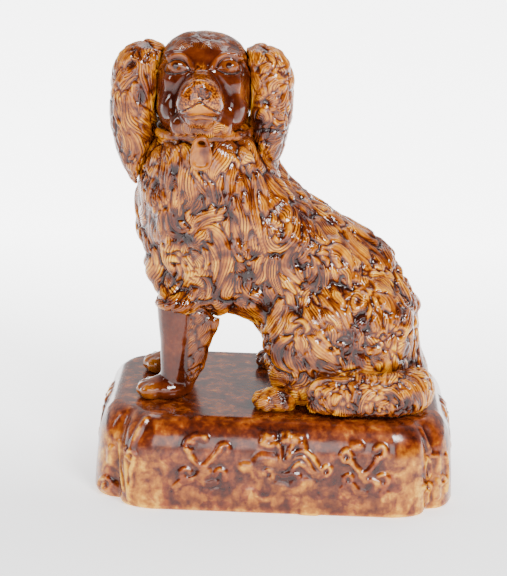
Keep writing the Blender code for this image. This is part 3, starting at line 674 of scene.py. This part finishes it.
def seeds_on(clay, spacing, rng, keep):
    """Points strewn over the kept surface, no two nearer than the spacing."""
    order = rng.permutation(len(clay.points))
    order = order[keep[order]][:CANDIDATES]
    cells = {}
    chosen = []
    for index in order:
        point = clay.points[index]
        x, y, z = np.floor(point / spacing).astype(int)
        around = [cells.get((x + i, y + j, z + k), ()) for i, j, k in NEXT_CELLS]
        if all(((point - other) ** 2).sum() >= spacing**2 for group in around for other in group):
            cells.setdefault((x, y, z), []).append(point)
            chosen.append(index)
    return chosen


# Styles of locks, one row a layer: spacing, how near they may start to a lock there, in its
# half widths, length, width, pitch of the grooves, sway, waves, hook at the end, and stray
COAT_STYLE = rows_of("""
0.0120 1.25 0.044 0.0135 0.0018 0.75 1.2 3.2 0.16
0.0065 1.35 0.028 0.0095 0.0017 0.60 1.0 2.6 0.15
""")
EAR_STYLE = rows_of("""
0.0110 1.25 0.048 0.0125 0.0018 0.65 1.6 1.8 0.08
0.0060 1.35 0.028 0.0090 0.0017 0.60 1.4 1.8 0.10
""")
TAIL_STYLE = rows_of("""
0.0100 1.25 0.036 0.0110 0.0017 0.60 1.1 2.0 0.15
0.0055 1.30 0.024 0.0080 0.0016 0.60 1.1 2.0 0.15
""")
PAW_STYLE = rows_of("0.0045 1.2 0.014 0.0050 0.0013 0.20 0.5 0.4 0.08")
BEARD_STYLE = rows_of("0.0050 1.2 0.014 0.0060 0.0013 0.5 0.8 1.6 0.20")
LOBE_RISE = 0.0027
EAR_LOBE_RISE = 0.0018
GROOVE_DEPTH = 0.00060
BARE_FOOT = 0.002
COAT_SINK = 0.0012
FINE_SINK = 0.0004

# Locks that the photograph shows, a piece at a time, the coat's on flank, chest and haunch:
# width, then places along the lock, in its pixels
COAT_LOCKS = rows_of("""
10 275,175 292,185 310,195 330,206 352,222
9 340,232 352,246 362,256 374,266
9 352,230 368,243 380,254 390,268
9 392,262 399,278 408,294 414,310
7 253,170 254,190 256,208 258,224 261,240 266,256
6 258,168 262,186 268,202 276,215
9 266,176 275,188 286,197 298,206
9 300,196 313,207 327,217 343,231
9 299,212 307,224 317,236 328,245
8 304,226 307,240 302,254
7 284,214 290,224 289,236 281,242 275,236 277,224
12 290,198 298,213 298,230 290,244 278,251 268,244 266,228 272,211
8 268,254 264,266 262,278 256,290
9 277,253 273,268 275,282 281,297
7 278,272 285,281 293,290 301,297
7 306,262 309,271 306,280
8 298,252 294,262 299,273 306,284
9 308,253 316,261 317,272 311,281 304,289
9 293,247 285,258 286,270 295,279 303,289
8 315,262 320,271 320,282 315,293
9 322,262 325,274 324,286 329,295 339,304
9 321,247 336,247 346,255 352,267 352,282
9 315,255 325,253 332,261 334,272 338,282 348,288
8 352,282 362,285 371,291 379,298
8 360,276 372,270 386,270
8 379,274 390,282 396,294 403,304
5 355,291 349,302 350,317 359,329
5 360,290 368,299 370,314 363,329
8 372,290 378,304 382,320 388,336
8 385,291 392,305 393,320 390,334
5 362,329 369,336 377,334 381,325 380,314
7 361,345 372,348 382,344 388,351
6 399,304 407,309 405,320 398,324
9 415,308 415,324 408,335 403,347
8 399,328 395,344 400,362
7 150,196 149,218 150,240 154,264
7 157,200 156,222 157,242 161,264
7 164,205 163,225 164,246
8 160,158 151,180 147,200 147,220
7 163,146 162,165 160,185 158,206
7 171,146 170,165 168,182 167,198
7 180,150 181,168 180,184 176,200
8 190,172 198,186 205,198 206,210
8 198,171 208,180 214,192 216,207
8 222,172 219,188 220,200 216,212
5 137,187 138,175 144,171 148,177 144,183
9 172,186 171,200 170,214 173,226 181,232 190,228
8 182,190 180,204 181,216 187,225
8 228,218 215,219 204,224 196,231 190,240
9 227,209 214,211 203,214 195,220 190,232
7 201,246 207,257 204,273
7 200,241 210,246 216,258 216,272 212,287
15 189,238 200,230 212,228 222,236 227,250 226,266 221,282 214,295
10 233,163 231,176 230,190 228,203
8 232,232 232,246 237,257 246,262 256,258
8 243,166 247,180 250,196 252,212 256,228 258,245
13 237,194 241,208 243,226 245,248
14 165,255 176,254 186,261 190,273 184,285 172,293
8 169,262 177,267 178,278 169,287
5 187,276 193,281 198,277 195,271 190,271
8 185,298 186,285 196,278 207,282 210,292 203,301 191,302
5 234,305 236,298 243,296 249,300 246,307
7 263,262 260,274 255,284 250,293
8 328,297 338,308 346,322 352,338
8 316,293 326,303 336,316 343,333
9 312,289 310,301 316,314 325,327
8 304,293 303,306 309,318 318,329
8 352,326 353,340 352,354 357,368
11 288,306 284,321 275,334 262,347
16 281,300 276,311 269,322 260,336
8 316,377 330,381 346,380 361,375
8 316,366 330,372 344,374 358,369
12 303,358 307,371 301,382 288,388
8 291,370 297,379 290,387
12 292,336 280,343 275,354 279,365 288,372
11 293,341 288,352 291,363 298,373
13 300,334 302,347 308,360 317,371
8 315,339 328,344 338,352 347,364
16 305,335 317,345 330,356 342,368
6 337,351 337,342 344,339 351,344 350,352 344,355
6 291,333 291,324 298,320 306,323 307,331 300,335
""")
# Dark patches on the coat: place and half sizes in pixels, and depth; pooled glaze, and painted shade in
# recesses and under parts
COAT_POOLS_AND_SHADE = rows_of("""
173,172 6,9 0.8
184,218 4,6 0.9
185,240 14,6 1.4
219,202 4,9 0.8
230,212 5,10 1.2
242,238 7,9 0.8
253,254 9,5 1.1
246,276 14,12 1.2
230,281 6,8 0.8
240,303 16,8 0.9
265,306 10,10 1.2
155,280 7,10 0.9
170,303 20,5 0.9
262,218 4,8 0.7
283,240 6,8 1.2
307,216 8,6 0.8
335,222 16,6 0.8
344,240 5,8 0.9
273,255 4,4 0.9
297,310 9,12 1.4
322,270 5,8 0.6
343,287 8,6 1.3
358,301 5,7 1.2
359,319 8,8 1
374,262 5,5 0.9
345,360 4,9 1
296,381 12,8 0.8
380,357 9,8 0.7
373,345 14,4 1
262,352 8,18 0.9
300,365 8,5 0.7
395,340 4,8 0.8
""")
TAIL_LOCKS = rows_of("""
8 323,413 310,402 308,392 314,383 326,379 340,380 353,378
9 326,411 316,403 315,393 322,387 335,386 347,388 352,396
9 331,413 328,401 333,393 342,392 346,400
8 355,389 370,386 386,388
7 360,384 358,373 362,366 367,371 367,383
7 376,385 374,372 380,366 387,372 387,383
8 402,371 415,376 424,388 427,402
9 399,378 410,384 418,395 420,407 412,417
8 394,383 405,392 410,402 407,413
10 362,421 360,406 366,395 378,390 392,390 401,398 402,411 395,422
9 370,419 367,407 373,400 384,398 392,404 393,416
5 380,416 380,408 386,406 390,412 386,418
""")
# Dark patches on the tail: place and half sizes in pixels, and depth; pooled glaze, and painted shade under
# and between its locks
TAIL_POOLS_AND_SHADE = rows_of("""
315,401 5,6 0.7
338,408 10,4 0.7
356,402 6,14 1
390,397 9,7 0.7
382,419 16,4 0.8
380,374 4,5 0.8
""")
RIGHT_EAR_LOCKS = rows_of("""
7 113,88 115,100 115,112 118,122 122,134
8 133,45 123,54 117,67 113,82
7 136,48 127,57 123,69 117,84
6 137,67 128,71 120,76 115,85
8 137,74 129,80 122,86 119,97
7 120,92 122,106 122,120 126,132
7 139,50 141,62 142,75 146,86 149,98 152,109
7 145,52 149,64 151,80 154,96
6 134,78 133,90 137,101 145,107 153,112
9 124,95 125,108 128,120 134,128 143,134 151,141
10 129,96 133,108 141,117 149,124 154,130
6 117,133 121,142 120,151
8 124,133 130,141 132,152 127,163
10 130,129 138,139 143,150 140,161 143,171
7 148,140 149,150 144,160
6 135,162 136,170 142,178
""")
# Dark patches on the ear: place and half sizes in pixels, and depth; pooled glaze, and painted shade in its
# recesses
RIGHT_EAR_POOLS_AND_SHADE = rows_of("""
142,97 5,7 1.5
131,65 4,5 0.8
116,86 3,4 0.8
120,140 3,8 0.8
147,46 6,4 0.8
151,155 5,12 1
""")
LEFT_EAR_LOCKS = rows_of("""
7 290,94 288,105 287,116 289,127
8 261,43 275,49 284,60 290,74 291,88
4 249,50 251,58 255,67
4 253,49 255,58 257,67
4 257,49 258,58 259,67
6 262,51 270,55 275,62 272,70
5 257,77 265,73 275,70 286,66
5 259,83 266,77 276,74 286,72
6 276,95 275,88 280,84 289,84
6 269,95 270,85 277,80 288,79
7 262,95 261,86 266,80 274,77 284,76
6 265,110 275,108 281,100 283,91
6 252,122 254,111 262,108 269,113 270,122 262,128
5 272,117 278,123 287,122
6 258,144 270,138 281,134 291,131
6 257,148 257,160 263,170
7 267,146 262,157 268,170
8 286,139 275,147 268,156 267,168
7 288,145 282,155 275,165 272,176
""")
# Dark patches on the other ear, the same way: pooled glaze, and painted shade in its recesses
LEFT_EAR_POOLS_AND_SHADE = rows_of("""
263,103 9,4 1.5
257,70 3,4 1
269,131 16,2.5 1.5
262,118 4,5 0.7
281,124 4,4 0.8
262,165 4,8 0.8
266,47 8,4 0.7
""")


def coat_flow(point, normal):
    x, y, z = point
    back = np.interp(x, (-0.08, -0.04, 0.0, 0.05, 0.09), (-0.1, 0.1, 0.7, 0.9, 0.3))
    if z < 0.125:
        back = np.interp(x, (-0.02, 0.02, 0.06, 0.09), (-0.7, -0.3, 0.2, 0.1))
    side = 0.35 * np.sign(y + 0.004) if x < -0.03 else 0.0
    return np.array((back, side, -1.0))


def steady(*course):
    """A flow that lies the same way everywhere."""
    return lambda point, normal: np.array(course)


def make_haired(
    name, nodes, material, flow, style, seed=SEED, slot="coat_glaze", plugs=(), locks=(), pools_and_shade=(), bare=-1,
    amber=1, press=(LOBE_RISE, GROOVE_DEPTH), sink=COAT_SINK, fine=RIDGE_SCALE, deep=HOLLOW_SCALE, **form
):
    """The piece for some nodes, with locks all over from a bare height above the first one's foot."""
    rng = np.random.default_rng(seed)
    clay = Clay(fused(name, [*(node_copy(node) for node in nodes), *plugs], **form))
    clay.amber[:] = amber
    hair = Hair(clay, clay.points[:, 2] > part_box(nodes[0])[0].z + bare)
    hair.add_seen(locks, rng)
    hair.comb(flow, style, rng)
    hair.press(*press)
    # Dark patches: pooled glaze, and painted shade in recesses and under parts
    clay.pool(pools_and_shade)
    clay.settle(sink)
    clay.finish(name, material, nodes, slot, fine, deep)


def make_coat(material):
    """The coat over body halves and haunches, with plugs that close it at seat, neck and forelegs."""
    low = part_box("body_left_half")[0]
    plugs = [ball_mesh((0.046, -0.004, low.z + 0.005), (0.045, 0.036, 0.004))]
    collar_low, collar_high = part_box("collar")
    plugs.append(ball_mesh((collar_low + collar_high) / 2, (0.026, 0.026, 0.008)))
    for leg in ("left_foreleg", "right_foreleg"):
        leg_low, leg_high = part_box(leg)
        middle_y = (leg_low.y + leg_high.y) / 2
        plugs.append(ball_mesh((leg_low.x + 0.024, middle_y, leg_high.z - 0.001), (0.0145, 0.0135, 0.0075)))
    make_haired(
        "coat", ("body_left_half", "body_right_half", "left_haunch", "right_haunch"), material,
        coat_flow, COAT_STYLE, plugs=plugs, locks=COAT_LOCKS, pools_and_shade=COAT_POOLS_AND_SHADE, bare=BARE_FOOT, smooth=10,
    )


def make_ears(material):
    for side, locks, pools_and_shade, seed in (
        ("left", LEFT_EAR_LOCKS, LEFT_EAR_POOLS_AND_SHADE, 3),
        ("right", RIGHT_EAR_LOCKS, RIGHT_EAR_POOLS_AND_SHADE, 4),
    ):
        make_haired(
            f"{side}_ear_curls", (f"{side}_ear",), material, steady(0, 0, -1), EAR_STYLE, seed,
            locks=locks, pools_and_shade=pools_and_shade, press=(EAR_LOBE_RISE, GROOVE_DEPTH), voxel=0.0016,
        )


def make_hind_paws(material):
    for node, seed in (("left_hind_paw", 8), ("right_hind_paw", 9)):
        make_haired(
            f"{node}_form", (node,), material, steady(-1, 0, -0.35), PAW_STYLE, seed,
            press=(0.0010, 0.0005), sink=FINE_SINK, fine=0.00025, voxel=0.0011, smooth=3,
        )


def make_tail(material):
    make_haired(
        "tail_brush", ("tail",), material, steady(-1, 0, -0.45), TAIL_STYLE,
        locks=TAIL_LOCKS, pools_and_shade=TAIL_POOLS_AND_SHADE, bare=BARE_FOOT, voxel=0.0018,
    )


def make_collar(material):
    make_haired(
        "collar_band", ("collar",), material, steady(0, 0, -1), BEARD_STYLE, slot="collar_glaze", amber=0.9,
        press=(0.0008, 0.0004), sink=FINE_SINK, fine=0.0004, deep=0.0020, swell=0.0001, voxel=0.0009,
        smooth=3, levels=1,
    )


# Head, its lines placed by the photograph's pixels

HEAD_HALF_DEPTH = 0.0295
HEAD_HALF_HEIGHT = 0.0305
HEAD_TILT = math.radians(-10)
CROWN_DROP = 0.0016
HAIR_LINE = rows_of("156,72 159,62 165,54 174,49 187,47 203,47 219,48 231,51 240,58 245,68")[0]
CROWN_WHORL = (207, 35)
CROWN_GLOW = ((211, 38), (27, 11))
BROWS = rows_of("""
154,77 158,69 164,61.5 172,55.5 180,54 186,57.5 190,63 192,68
212,67 216.5,60 223,54 230,51.5 237,54.5 243,61 247,68 251,76
""")
# Lines carved in the face: half width, rise, shade and step, then places along the line, in
# pixels: creases and lower lids, the muzzle's sides, nostrils, lip seam, mouth and lower lip
FACE_LINES = rows_of("""
0.0007 -0.0005 -0.02 2 164,70 168,63 174,59.5 181,60 186,64 189,69
0.0007 -0.0005 -0.04 2 164,71 170,74 178,73.5 185,71.5 190,69
0.0007 -0.0005 -0.02 2 217,68 221,61 228,57 235,59.5 240,65 242,70
0.0007 -0.0005 -0.04 2 218,70 225,73.5 232,74.5 238,73 242,70
0.0030 -0.0006 -0.02 2 191,72 184,80 178,88 174.5,96 173,105 175,113
0.0030 -0.0006 -0.02 2 212,73 219,80 225,88 229,97 229,106
0.0009 -0.0007 -0.08 1 198.5,94 199.5,97 202,98.5
0.0009 -0.0007 -0.08 1 210,93.5 209,97 206.5,98.5
0.0008 -0.0004 -0.06 1 203.5,99 201.5,101 200,103
0.0010 -0.0008 -0.03 1 177.5,112 182,111.5 188,109.5 193,106.5 197,103.5 200,102.5
 203,104 207,107 212,110 217,112.5 221,113.5
0.0015 -0.0007 -0.04 1 184,117 191,118 200,116.5 209,118 217,118.5
""")
# Eyes and nose that stand out: place and half sizes in pixels, rise, and how round
FACE_MOUNDS = rows_of("""
176.5,67 11.5,6.8 0.0012 0.8
230.5,67 11.5,6.8 0.0012 0.8
204,93 8,7 0.0007 1
""")
# Round the eyes, pupils, forehead, lit cheek, muzzle's shadow and nose: place and half sizes in
# pixels, the share of the size before it fades, and what is added to amber and to shade; the
# lit cheek's lighter patch is partly amber glaze, partly a painted highlight
FACE_PATCHES = rows_of("""
176.5,63 14,10.5 0.4 0.48 0.04
230.5,63 14,10.5 0.4 0.48 0.04
175.5,65.5 3.2,3.2 0.6 0 -0.5
229,65.5 3.2,3.2 0.6 0 -0.5
205,58 10,5 0 0.15 0.045
241,92 7,14 0 0.6 0.18
173,97 6,14 0 -0.1 -0.03
204,93 7.5,6.5 0.6 -0.2 -0.1
""")
# Height in the photograph, then the two edges of the band there
PALE_MUZZLE = rows_of("""
63 197,204
70 193,208
78 189,212
87 183,219
96 179,224
105 178,226
113 183,221
""")
PALE_CHIN = ((105, 198, 202), (111, 190, 211), (117, 186, 216), (120, 190, 212))
BEARD = ((120, 186, 214), (127, 177, 230), (136, 174, 238), (148, 174, 240))
CROWN_STYLE = rows_of("0.0100 1.2 0.034 0.0120 0.0019 0.30 0.7 0.4 0.04")


def head_places(points):
    """How far forward and how far up points lie from the head's middle, in its own directions."""
    low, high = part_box("head")
    middle = np.array(((low.x + high.x) / 2, high.y - HEAD_HALF_DEPTH, high.z - HEAD_HALF_HEIGHT))
    tilt = np.array(Matrix.Rotation(HEAD_TILT, 3, "X"))
    offset = points - middle
    return -(offset @ tilt[:, 1]), offset @ tilt[:, 2]


def make_head(material):
    rng = np.random.default_rng(SEED)
    low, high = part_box("head")
    collar_low, collar_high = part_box("collar")
    neck = (collar_low + collar_high) / 2
    plug = ball_mesh((neck.x, neck.y, high.z - 0.050), (0.021, 0.021, 0.006))
    clay = Clay(fused("head", [node_copy("head"), plug], voxel=0.0014, smooth=3))
    pixels = pixels_of(clay.points)
    forward, upward = head_places(clay.points)
    front = forward > 0.002
    above_line = pixels[:, 1] < np.interp(pixels[:, 0], HAIR_LINE[::2], HAIR_LINE[1::2])
    crown = np.where(front, above_line & (upward > 0.012), upward > -0.024)
    beard = between(pixels, BEARD) * front

    clay.amber[:] = 0.10
    whorl, _ = seen_at(clay.tree, CROWN_WHORL)

    def from_whorl(point, normal):
        away = point - np.array(whorl)
        return away / np.linalg.norm(away) + np.array((0, 0, -0.25))

    def beard_flow(point, normal):
        return np.array((1.2 * (point[0] - neck.x) / 0.02, -0.3, -1.0))

    for keep, flow, style, lobe in (
        (crown > 0.5, from_whorl, CROWN_STYLE, 0.0005),
        (beard > 0.5, beard_flow, BEARD_STYLE, 0.0012),
    ):
        hair = Hair(clay, keep)
        hair.comb(flow, style, rng)
        hair.press(lobe, 0.0010)
    crown = smoothstep(0.4, 1.0, clay.averaged(crown.astype(float), 20 * FINE_LEVELS)[:, 0])
    clay.rise *= np.maximum(crown, beard)
    clay.shade *= np.maximum(1.7 * crown, beard)
    clay.shade += 0.08 * crown - 0.06
    clay.amber += crown * (0.58 + 0.5 * mask_round(pixels, *CROWN_GLOW, 0.2)) + 0.9 * beard

    for brow in BROWS:
        clay.carve(clay.seen_line(brow), 0.0020, 0.0007, 0.03, 0.26)
    for half_width, rise, shade, step, *pixels_along in FACE_LINES:
        clay.carve(clay.seen_line(pixels_along, step), half_width, rise, shade)
    for x, y, half_x, half_y, rise, power in FACE_MOUNDS:
        clay.mound((x, y), (half_x, half_y), rise, power)
    # The lit cheek gets amber glaze and a painted highlight here, and the muzzle's side a painted shadow
    for x, y, half_x, half_y, core, amber, shade in FACE_PATCHES:
        patch = mask_round(pixels, (x, y), (half_x, half_y), core) * front
        clay.amber += amber * patch
        clay.shade += shade * patch
    muzzle = between(pixels, PALE_MUZZLE) * front
    chin = between(pixels, PALE_CHIN) * front
    clay.amber += 0.80 * np.maximum(muzzle, chin)
    clay.shade += 0.12 * (muzzle + chin) + 0.10 * beard
    clay.speck += 0.6 * muzzle * (1 - chin)
    clay.settle(FINE_SINK)
    crown_lift = smoothstep(high.z - 0.016, high.z - 0.001, clay.points[:, 2])
    clay.points[:, 2] -= CROWN_DROP * crown_lift
    clay.find_normals()
    clay.finish("head_face", material, ("head",), "face_glaze", deep=0.0025)


# Forelegs

SHAFT_BACK = 0.0295
FEATHER_STYLE = rows_of("0.0040 1.2 0.013 0.0046 0.0012 0.25 0.6 0.3 0.05")


def make_foreleg(name, material, seed):
    rng = np.random.default_rng(seed)
    low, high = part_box(name)
    clay = Clay(fused(name, [node_copy(name)], voxel=0.0013, smooth=3))
    x, z = clay.points[:, 0], clay.points[:, 2]
    back = low.x + SHAFT_BACK
    feather = smoothstep(back - 0.001, back + 0.002, x) * smoothstep(low.z + 0.006, low.z + 0.016, z)
    toes = 1 - smoothstep(low.x + 0.010, low.x + 0.016, x)
    clay.amber[:] = 0.06
    clay.shade[:] = -0.02
    hair = Hair(clay, feather > 0.4)
    hair.comb(steady(-0.8, 0, -0.9), FEATHER_STYLE, rng)
    hair.press(0.0012, 0.0004)
    clay.rise *= feather
    clay.amber += 0.85 * feather + 0.5 * toes
    clay.shade += 0.10 * toes
    clay.settle(FINE_SINK)
    clay.finish(f"{name}_form", material, (name,), "face_glaze", fine=0.00025)


# Padlock


def make_padlock(material):
    clay = Clay(fused("padlock", [node_copy("padlock")], swell=0.0001, voxel=0.0007, smooth=5, levels=1))
    clay.amber[:] = 1.0
    clay.shade[:] = 0.16
    clay.finish("padlock_form", material, ("padlock",), "collar_glaze", fine=0.0012, deep=0.0060)


# Plinth, its shape by the same formulas as the solid's

WALL = 0.007
CORNER_CUT = 0.035
CORNER_ROUNDNESS = 1.4
CORNER_NOTCH = 0.0030
CORNER_BULGE = 0.0014
SIDE_FLARE = 0.0016
SHOULDER_HEIGHT = 0.025
SHOULDER_REACH = 0.013
FOOT_ROUND = 0.0016
VENT_RADIUS = 0.014
VENT_MIDDLE = (0.0459, -0.004)
CORNER_STEPS = 62
SIDE_STEPS = (172, 100)
ROW_SPACING = 0.0007
TOP_SHARES = (0.02, 0.10, 0.30, 0.60, 0.85, 1.0)
RELIEF_RISE = 0.0016
RELIEF_SPREAD = 1.5
RELIEF_SHADE = 0.03
RELIEF_ROUNDS = 1

# Relief that the photograph shows: width, then places along the ridge, in its pixels
LEFT_MOTIF = rows_of("""
5 190,450 185,448 187,442 193,443
5 187,449 190,455 194,461 200,466
6 190,440 197,437 205,438
5 219,450 221,446 227,446 228,451
5 221,449 215,455 210,461 203,467
5 184,478 181,473 185,469 190,472
10 202,474 207,473
5 225,479 224,472 219,470 215,475
5 175,488 181,482 190,480 199,477
5 199,482 208,484 216,482
8 206,493 206,499
7 216,492 216,498
""")
CENTRE_MOTIF = rows_of("""
9 266,437 272,437
6 263,443 270,446 277,444
5 283,434 283,441
5 288,434 287,441
12 294,439 299,439
7 302,445 303,447
5 279,446 281,456 283,467
5 292,447 288,457 285,467
13 258,474 257,466 263,460 272,461 278,466
4 286,466 290,457 297,452 306,452 312,457 317,465 323,473
4 289,464 295,458 303,457 309,463 314,470 320,475
5 292,469 299,463 306,467 313,474 320,477
4 320,476 327,475 331,470 327,466 323,469
10 244,467 246,467
4 265,474 267,470 272,471 273,477 268,480
5 276,472 283,475 291,474 298,476
15 266,485 268,486
14 298,486 310,485
14 281,491 281,498
11 268,502 270,502
12 290,504 292,504
11 250,495 253,500
12 310,497 313,500
9 304,512 314,513
""")
RIGHT_MOTIF = rows_of("""
5 351,461 344,461 342,455 347,451 351,456
5 350,460 354,466 359,471 364,475
5 376,450 381,446 385,450 383,456 378,458
5 378,458 375,464 370,470 364,475
8 355,446 359,446
4 352,484 346,484 344,478 349,475 352,479
4 379,476 384,475 388,480 385,487 379,485
5 361,476 366,481 372,481 378,484
5 353,487 358,492 365,494
9 345,490 345,494
8 384,494 386,498
""")
CORNER_STRIPS = rows_of("""
5 420,429 424,438 428,448 430,455
3 426,458 424,470 426,479 430,473 430,462 426,458
3 423,487 427,483 431,487 427,491 423,487
6 427,494 427,500
4 433,456 438,456 439,465 438,476 436,486
4 438,480 441,476 445,480 441,484 438,480
7 437,490 437,496
5 446,455 447,466 447,478 446,490
6 146,419 139,430 134,440 131,449
4 128,452 132,451 135,456 131,460 128,456
4 134,462 131,470 132,480 130,488
4 120,442 121,456 122,472 124,490
4 126,448 126,462 127,478 129,498
8 111,450 111,460
4 99,485 101,479 107,478 111,483 108,489 103,488 104,484
9 116,486 117,488
""")


def plinth_outline(inset):
    """The outline at an inset, with two lobes and a notch at each canted corner."""
    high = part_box("plinth")[1]
    half_x, half_y = high.x - inset, high.y - inset
    cut = CORNER_CUT - inset * (2 - math.sqrt(2))
    relief = 1 - 0.6 * inset / (SIDE_FLARE + SHOULDER_REACH)
    t = np.linspace(0, 1, CORNER_STEPS + 1)
    bulge = relief * CORNER_BULGE * np.sin(2 * np.pi * t) ** 2
    notch = relief * CORNER_NOTCH * np.exp(-(((t - 0.5) / 0.09) ** 2))
    out = (bulge - notch) / math.sqrt(2)
    across = half_x - cut * t**CORNER_ROUNDNESS + out
    corner = np.stack([across, half_y - cut * (1 - t) ** CORNER_ROUNDNESS + out], axis=1)
    mirrored = corner[::-1] * (-1, 1)
    half = []
    for turn, after, steps in ((corner, mirrored, SIDE_STEPS[0]), (mirrored, -corner, SIDE_STEPS[1])):
        half.append(turn[:-1])
        half.append(np.linspace(turn[-1], after[0], steps, endpoint=False))
    half = np.concatenate(half)
    return np.concatenate([half, -half])


def shoulder(inset, top, steps):
    angle = np.linspace(0, np.pi / 2, steps)
    heights = top - SHOULDER_HEIGHT * (1 - np.sin(angle))
    return list(zip(heights, inset + SHOULDER_REACH * (1 - np.cos(angle))))


def plinth_mesh():
    """The plinth as rings: up the outside, in to the vent, and down the inside."""
    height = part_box("plinth")[1].z
    foot = [(0, FOOT_ROUND), (FOOT_ROUND * 0.4, FOOT_ROUND * 0.35), (FOOT_ROUND * 1.2, 0)]
    outside = np.array([*foot, (height * 0.30, SIDE_FLARE * 0.4), *shoulder(SIDE_FLARE, height, 24)])
    passed = np.concatenate([[0], np.linalg.norm(np.diff(outside, axis=0), axis=1).cumsum()])
    rows = np.linspace(0, passed[-1], round(passed[-1] / ROW_SPACING))
    levels, insets = (np.interp(rows, passed, outside[:, axis]) for axis in (0, 1))
    rings = [(plinth_outline(inset), level) for level, inset in zip(levels, insets)]
    rim = plinth_outline(SIDE_FLARE + SHOULDER_REACH)
    ceiling = height - WALL
    inner_rim = plinth_outline(SIDE_FLARE + WALL + SHOULDER_REACH)
    away = rim - VENT_MIDDLE
    vent = VENT_MIDDLE + VENT_RADIUS * away / np.linalg.norm(away, axis=1)[:, None]
    for edge, level, shares in ((rim, height, TOP_SHARES), (inner_rim, ceiling, TOP_SHARES[::-1])):
        rings += [(edge + share * (vent - edge), level) for share in shares]
    inside = [*shoulder(SIDE_FLARE + WALL, ceiling, 7)[::-1], (0, WALL)]
    rings += [(plinth_outline(inset), level) for level, inset in inside]
    around = len(rim)
    points = [np.column_stack([outline, np.full(around, level)]) for outline, level in rings]
    first = np.arange(around)
    after = np.roll(first, -1)
    faces = []
    for row in range(len(rings)):
        low, high = row * around, (row + 1) % len(rings) * around
        faces.append(np.stack([low + first, low + after, high + after, high + first], axis=1))
    mesh = bpy.data.meshes.new("plinth_relief")
    mesh.from_pydata(np.concatenate(points).tolist(), [], np.concatenate(faces).tolist())
    return mesh


def repeated(line, turns, middle_x):
    """A line on the plinth's front, moved round to another side by quarter turns."""
    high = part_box("plinth")[1]
    points, normals = line
    if turns % 2:
        points = points - (middle_x, high.x - high.y, 0)
    spin = np.array(Matrix.Rotation(turns * math.pi / 2, 3, "Z"))
    return points @ spin.T, normals @ spin.T


def make_plinth(material):
    clay = Clay(plinth_mesh())
    x, y, z = np.abs(clay.points).T
    corner = smoothstep(0.052, 0.074, x) * smoothstep(0.028, 0.050, y) * (1 - smoothstep(0.030, 0.044, z))
    foot = 1 - smoothstep(0.004, 0.022, z)
    clay.amber[:] = 0.10 + 0.90 * np.maximum(corner, 0.30 * foot)
    clay.shade += 0.10 * corner
    for motif, turns, amber in (
        (LEFT_MOTIF, (0, 2), 0.55),
        (CENTRE_MOTIF, (0, 1, 2, 3), 0.95),
        (RIGHT_MOTIF, (0, 2), 0.55),
        (CORNER_STRIPS, (0, 2), 0.80),
    ):
        lines = [(width, clay.seen_line(pixels, 1.0)) for width, *pixels in motif]
        middle_x = np.mean([line[0][:, 0].mean() for _, line in lines])
        for turn in turns:
            for width, line in lines:
                half_width = RELIEF_SPREAD * width / 2 * CAMERA_DISTANCE / FOCAL_PIXELS
                clay.carve(repeated(line, turn, middle_x), half_width, RELIEF_RISE, RELIEF_SHADE, amber)
    clay.rise = clay.averaged(clay.rise, RELIEF_ROUNDS)[:, 0]
    clay.settle(0.0)
    low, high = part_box("plinth")
    clay.points = np.clip(clay.points, tuple(low), tuple(high))
    clay.find_normals()
    sides = 1 - smoothstep(0.75, 0.97, clay.normals[:, 2])
    clay.finish("plinth_relief", material, ("plinth",), "plinth_glaze", 0.0006, 0.0120, sides)


look_from_photo()
studio()
floor()

coat_glaze = glaze("coat_glaze", 0.58, run_scale=48, runs=(4.5, -2.10), run_depth=-0.26)
face_glaze = glaze("face_glaze", 0.46, patches=(60, 0.7))
plinth_glaze = glaze("plinth_glaze", 0.60, (110, 1.3), 95, (7.0, -3.3), -0.08, (300, 0.7), 0.15)
make_head(face_glaze)
make_coat(coat_glaze)
make_ears(coat_glaze)
make_foreleg("left_foreleg", face_glaze, 5)
make_foreleg("right_foreleg", face_glaze, 6)
make_hind_paws(coat_glaze)
make_tail(coat_glaze)
make_collar(coat_glaze)
make_padlock(coat_glaze)
make_plinth(plinth_glaze)
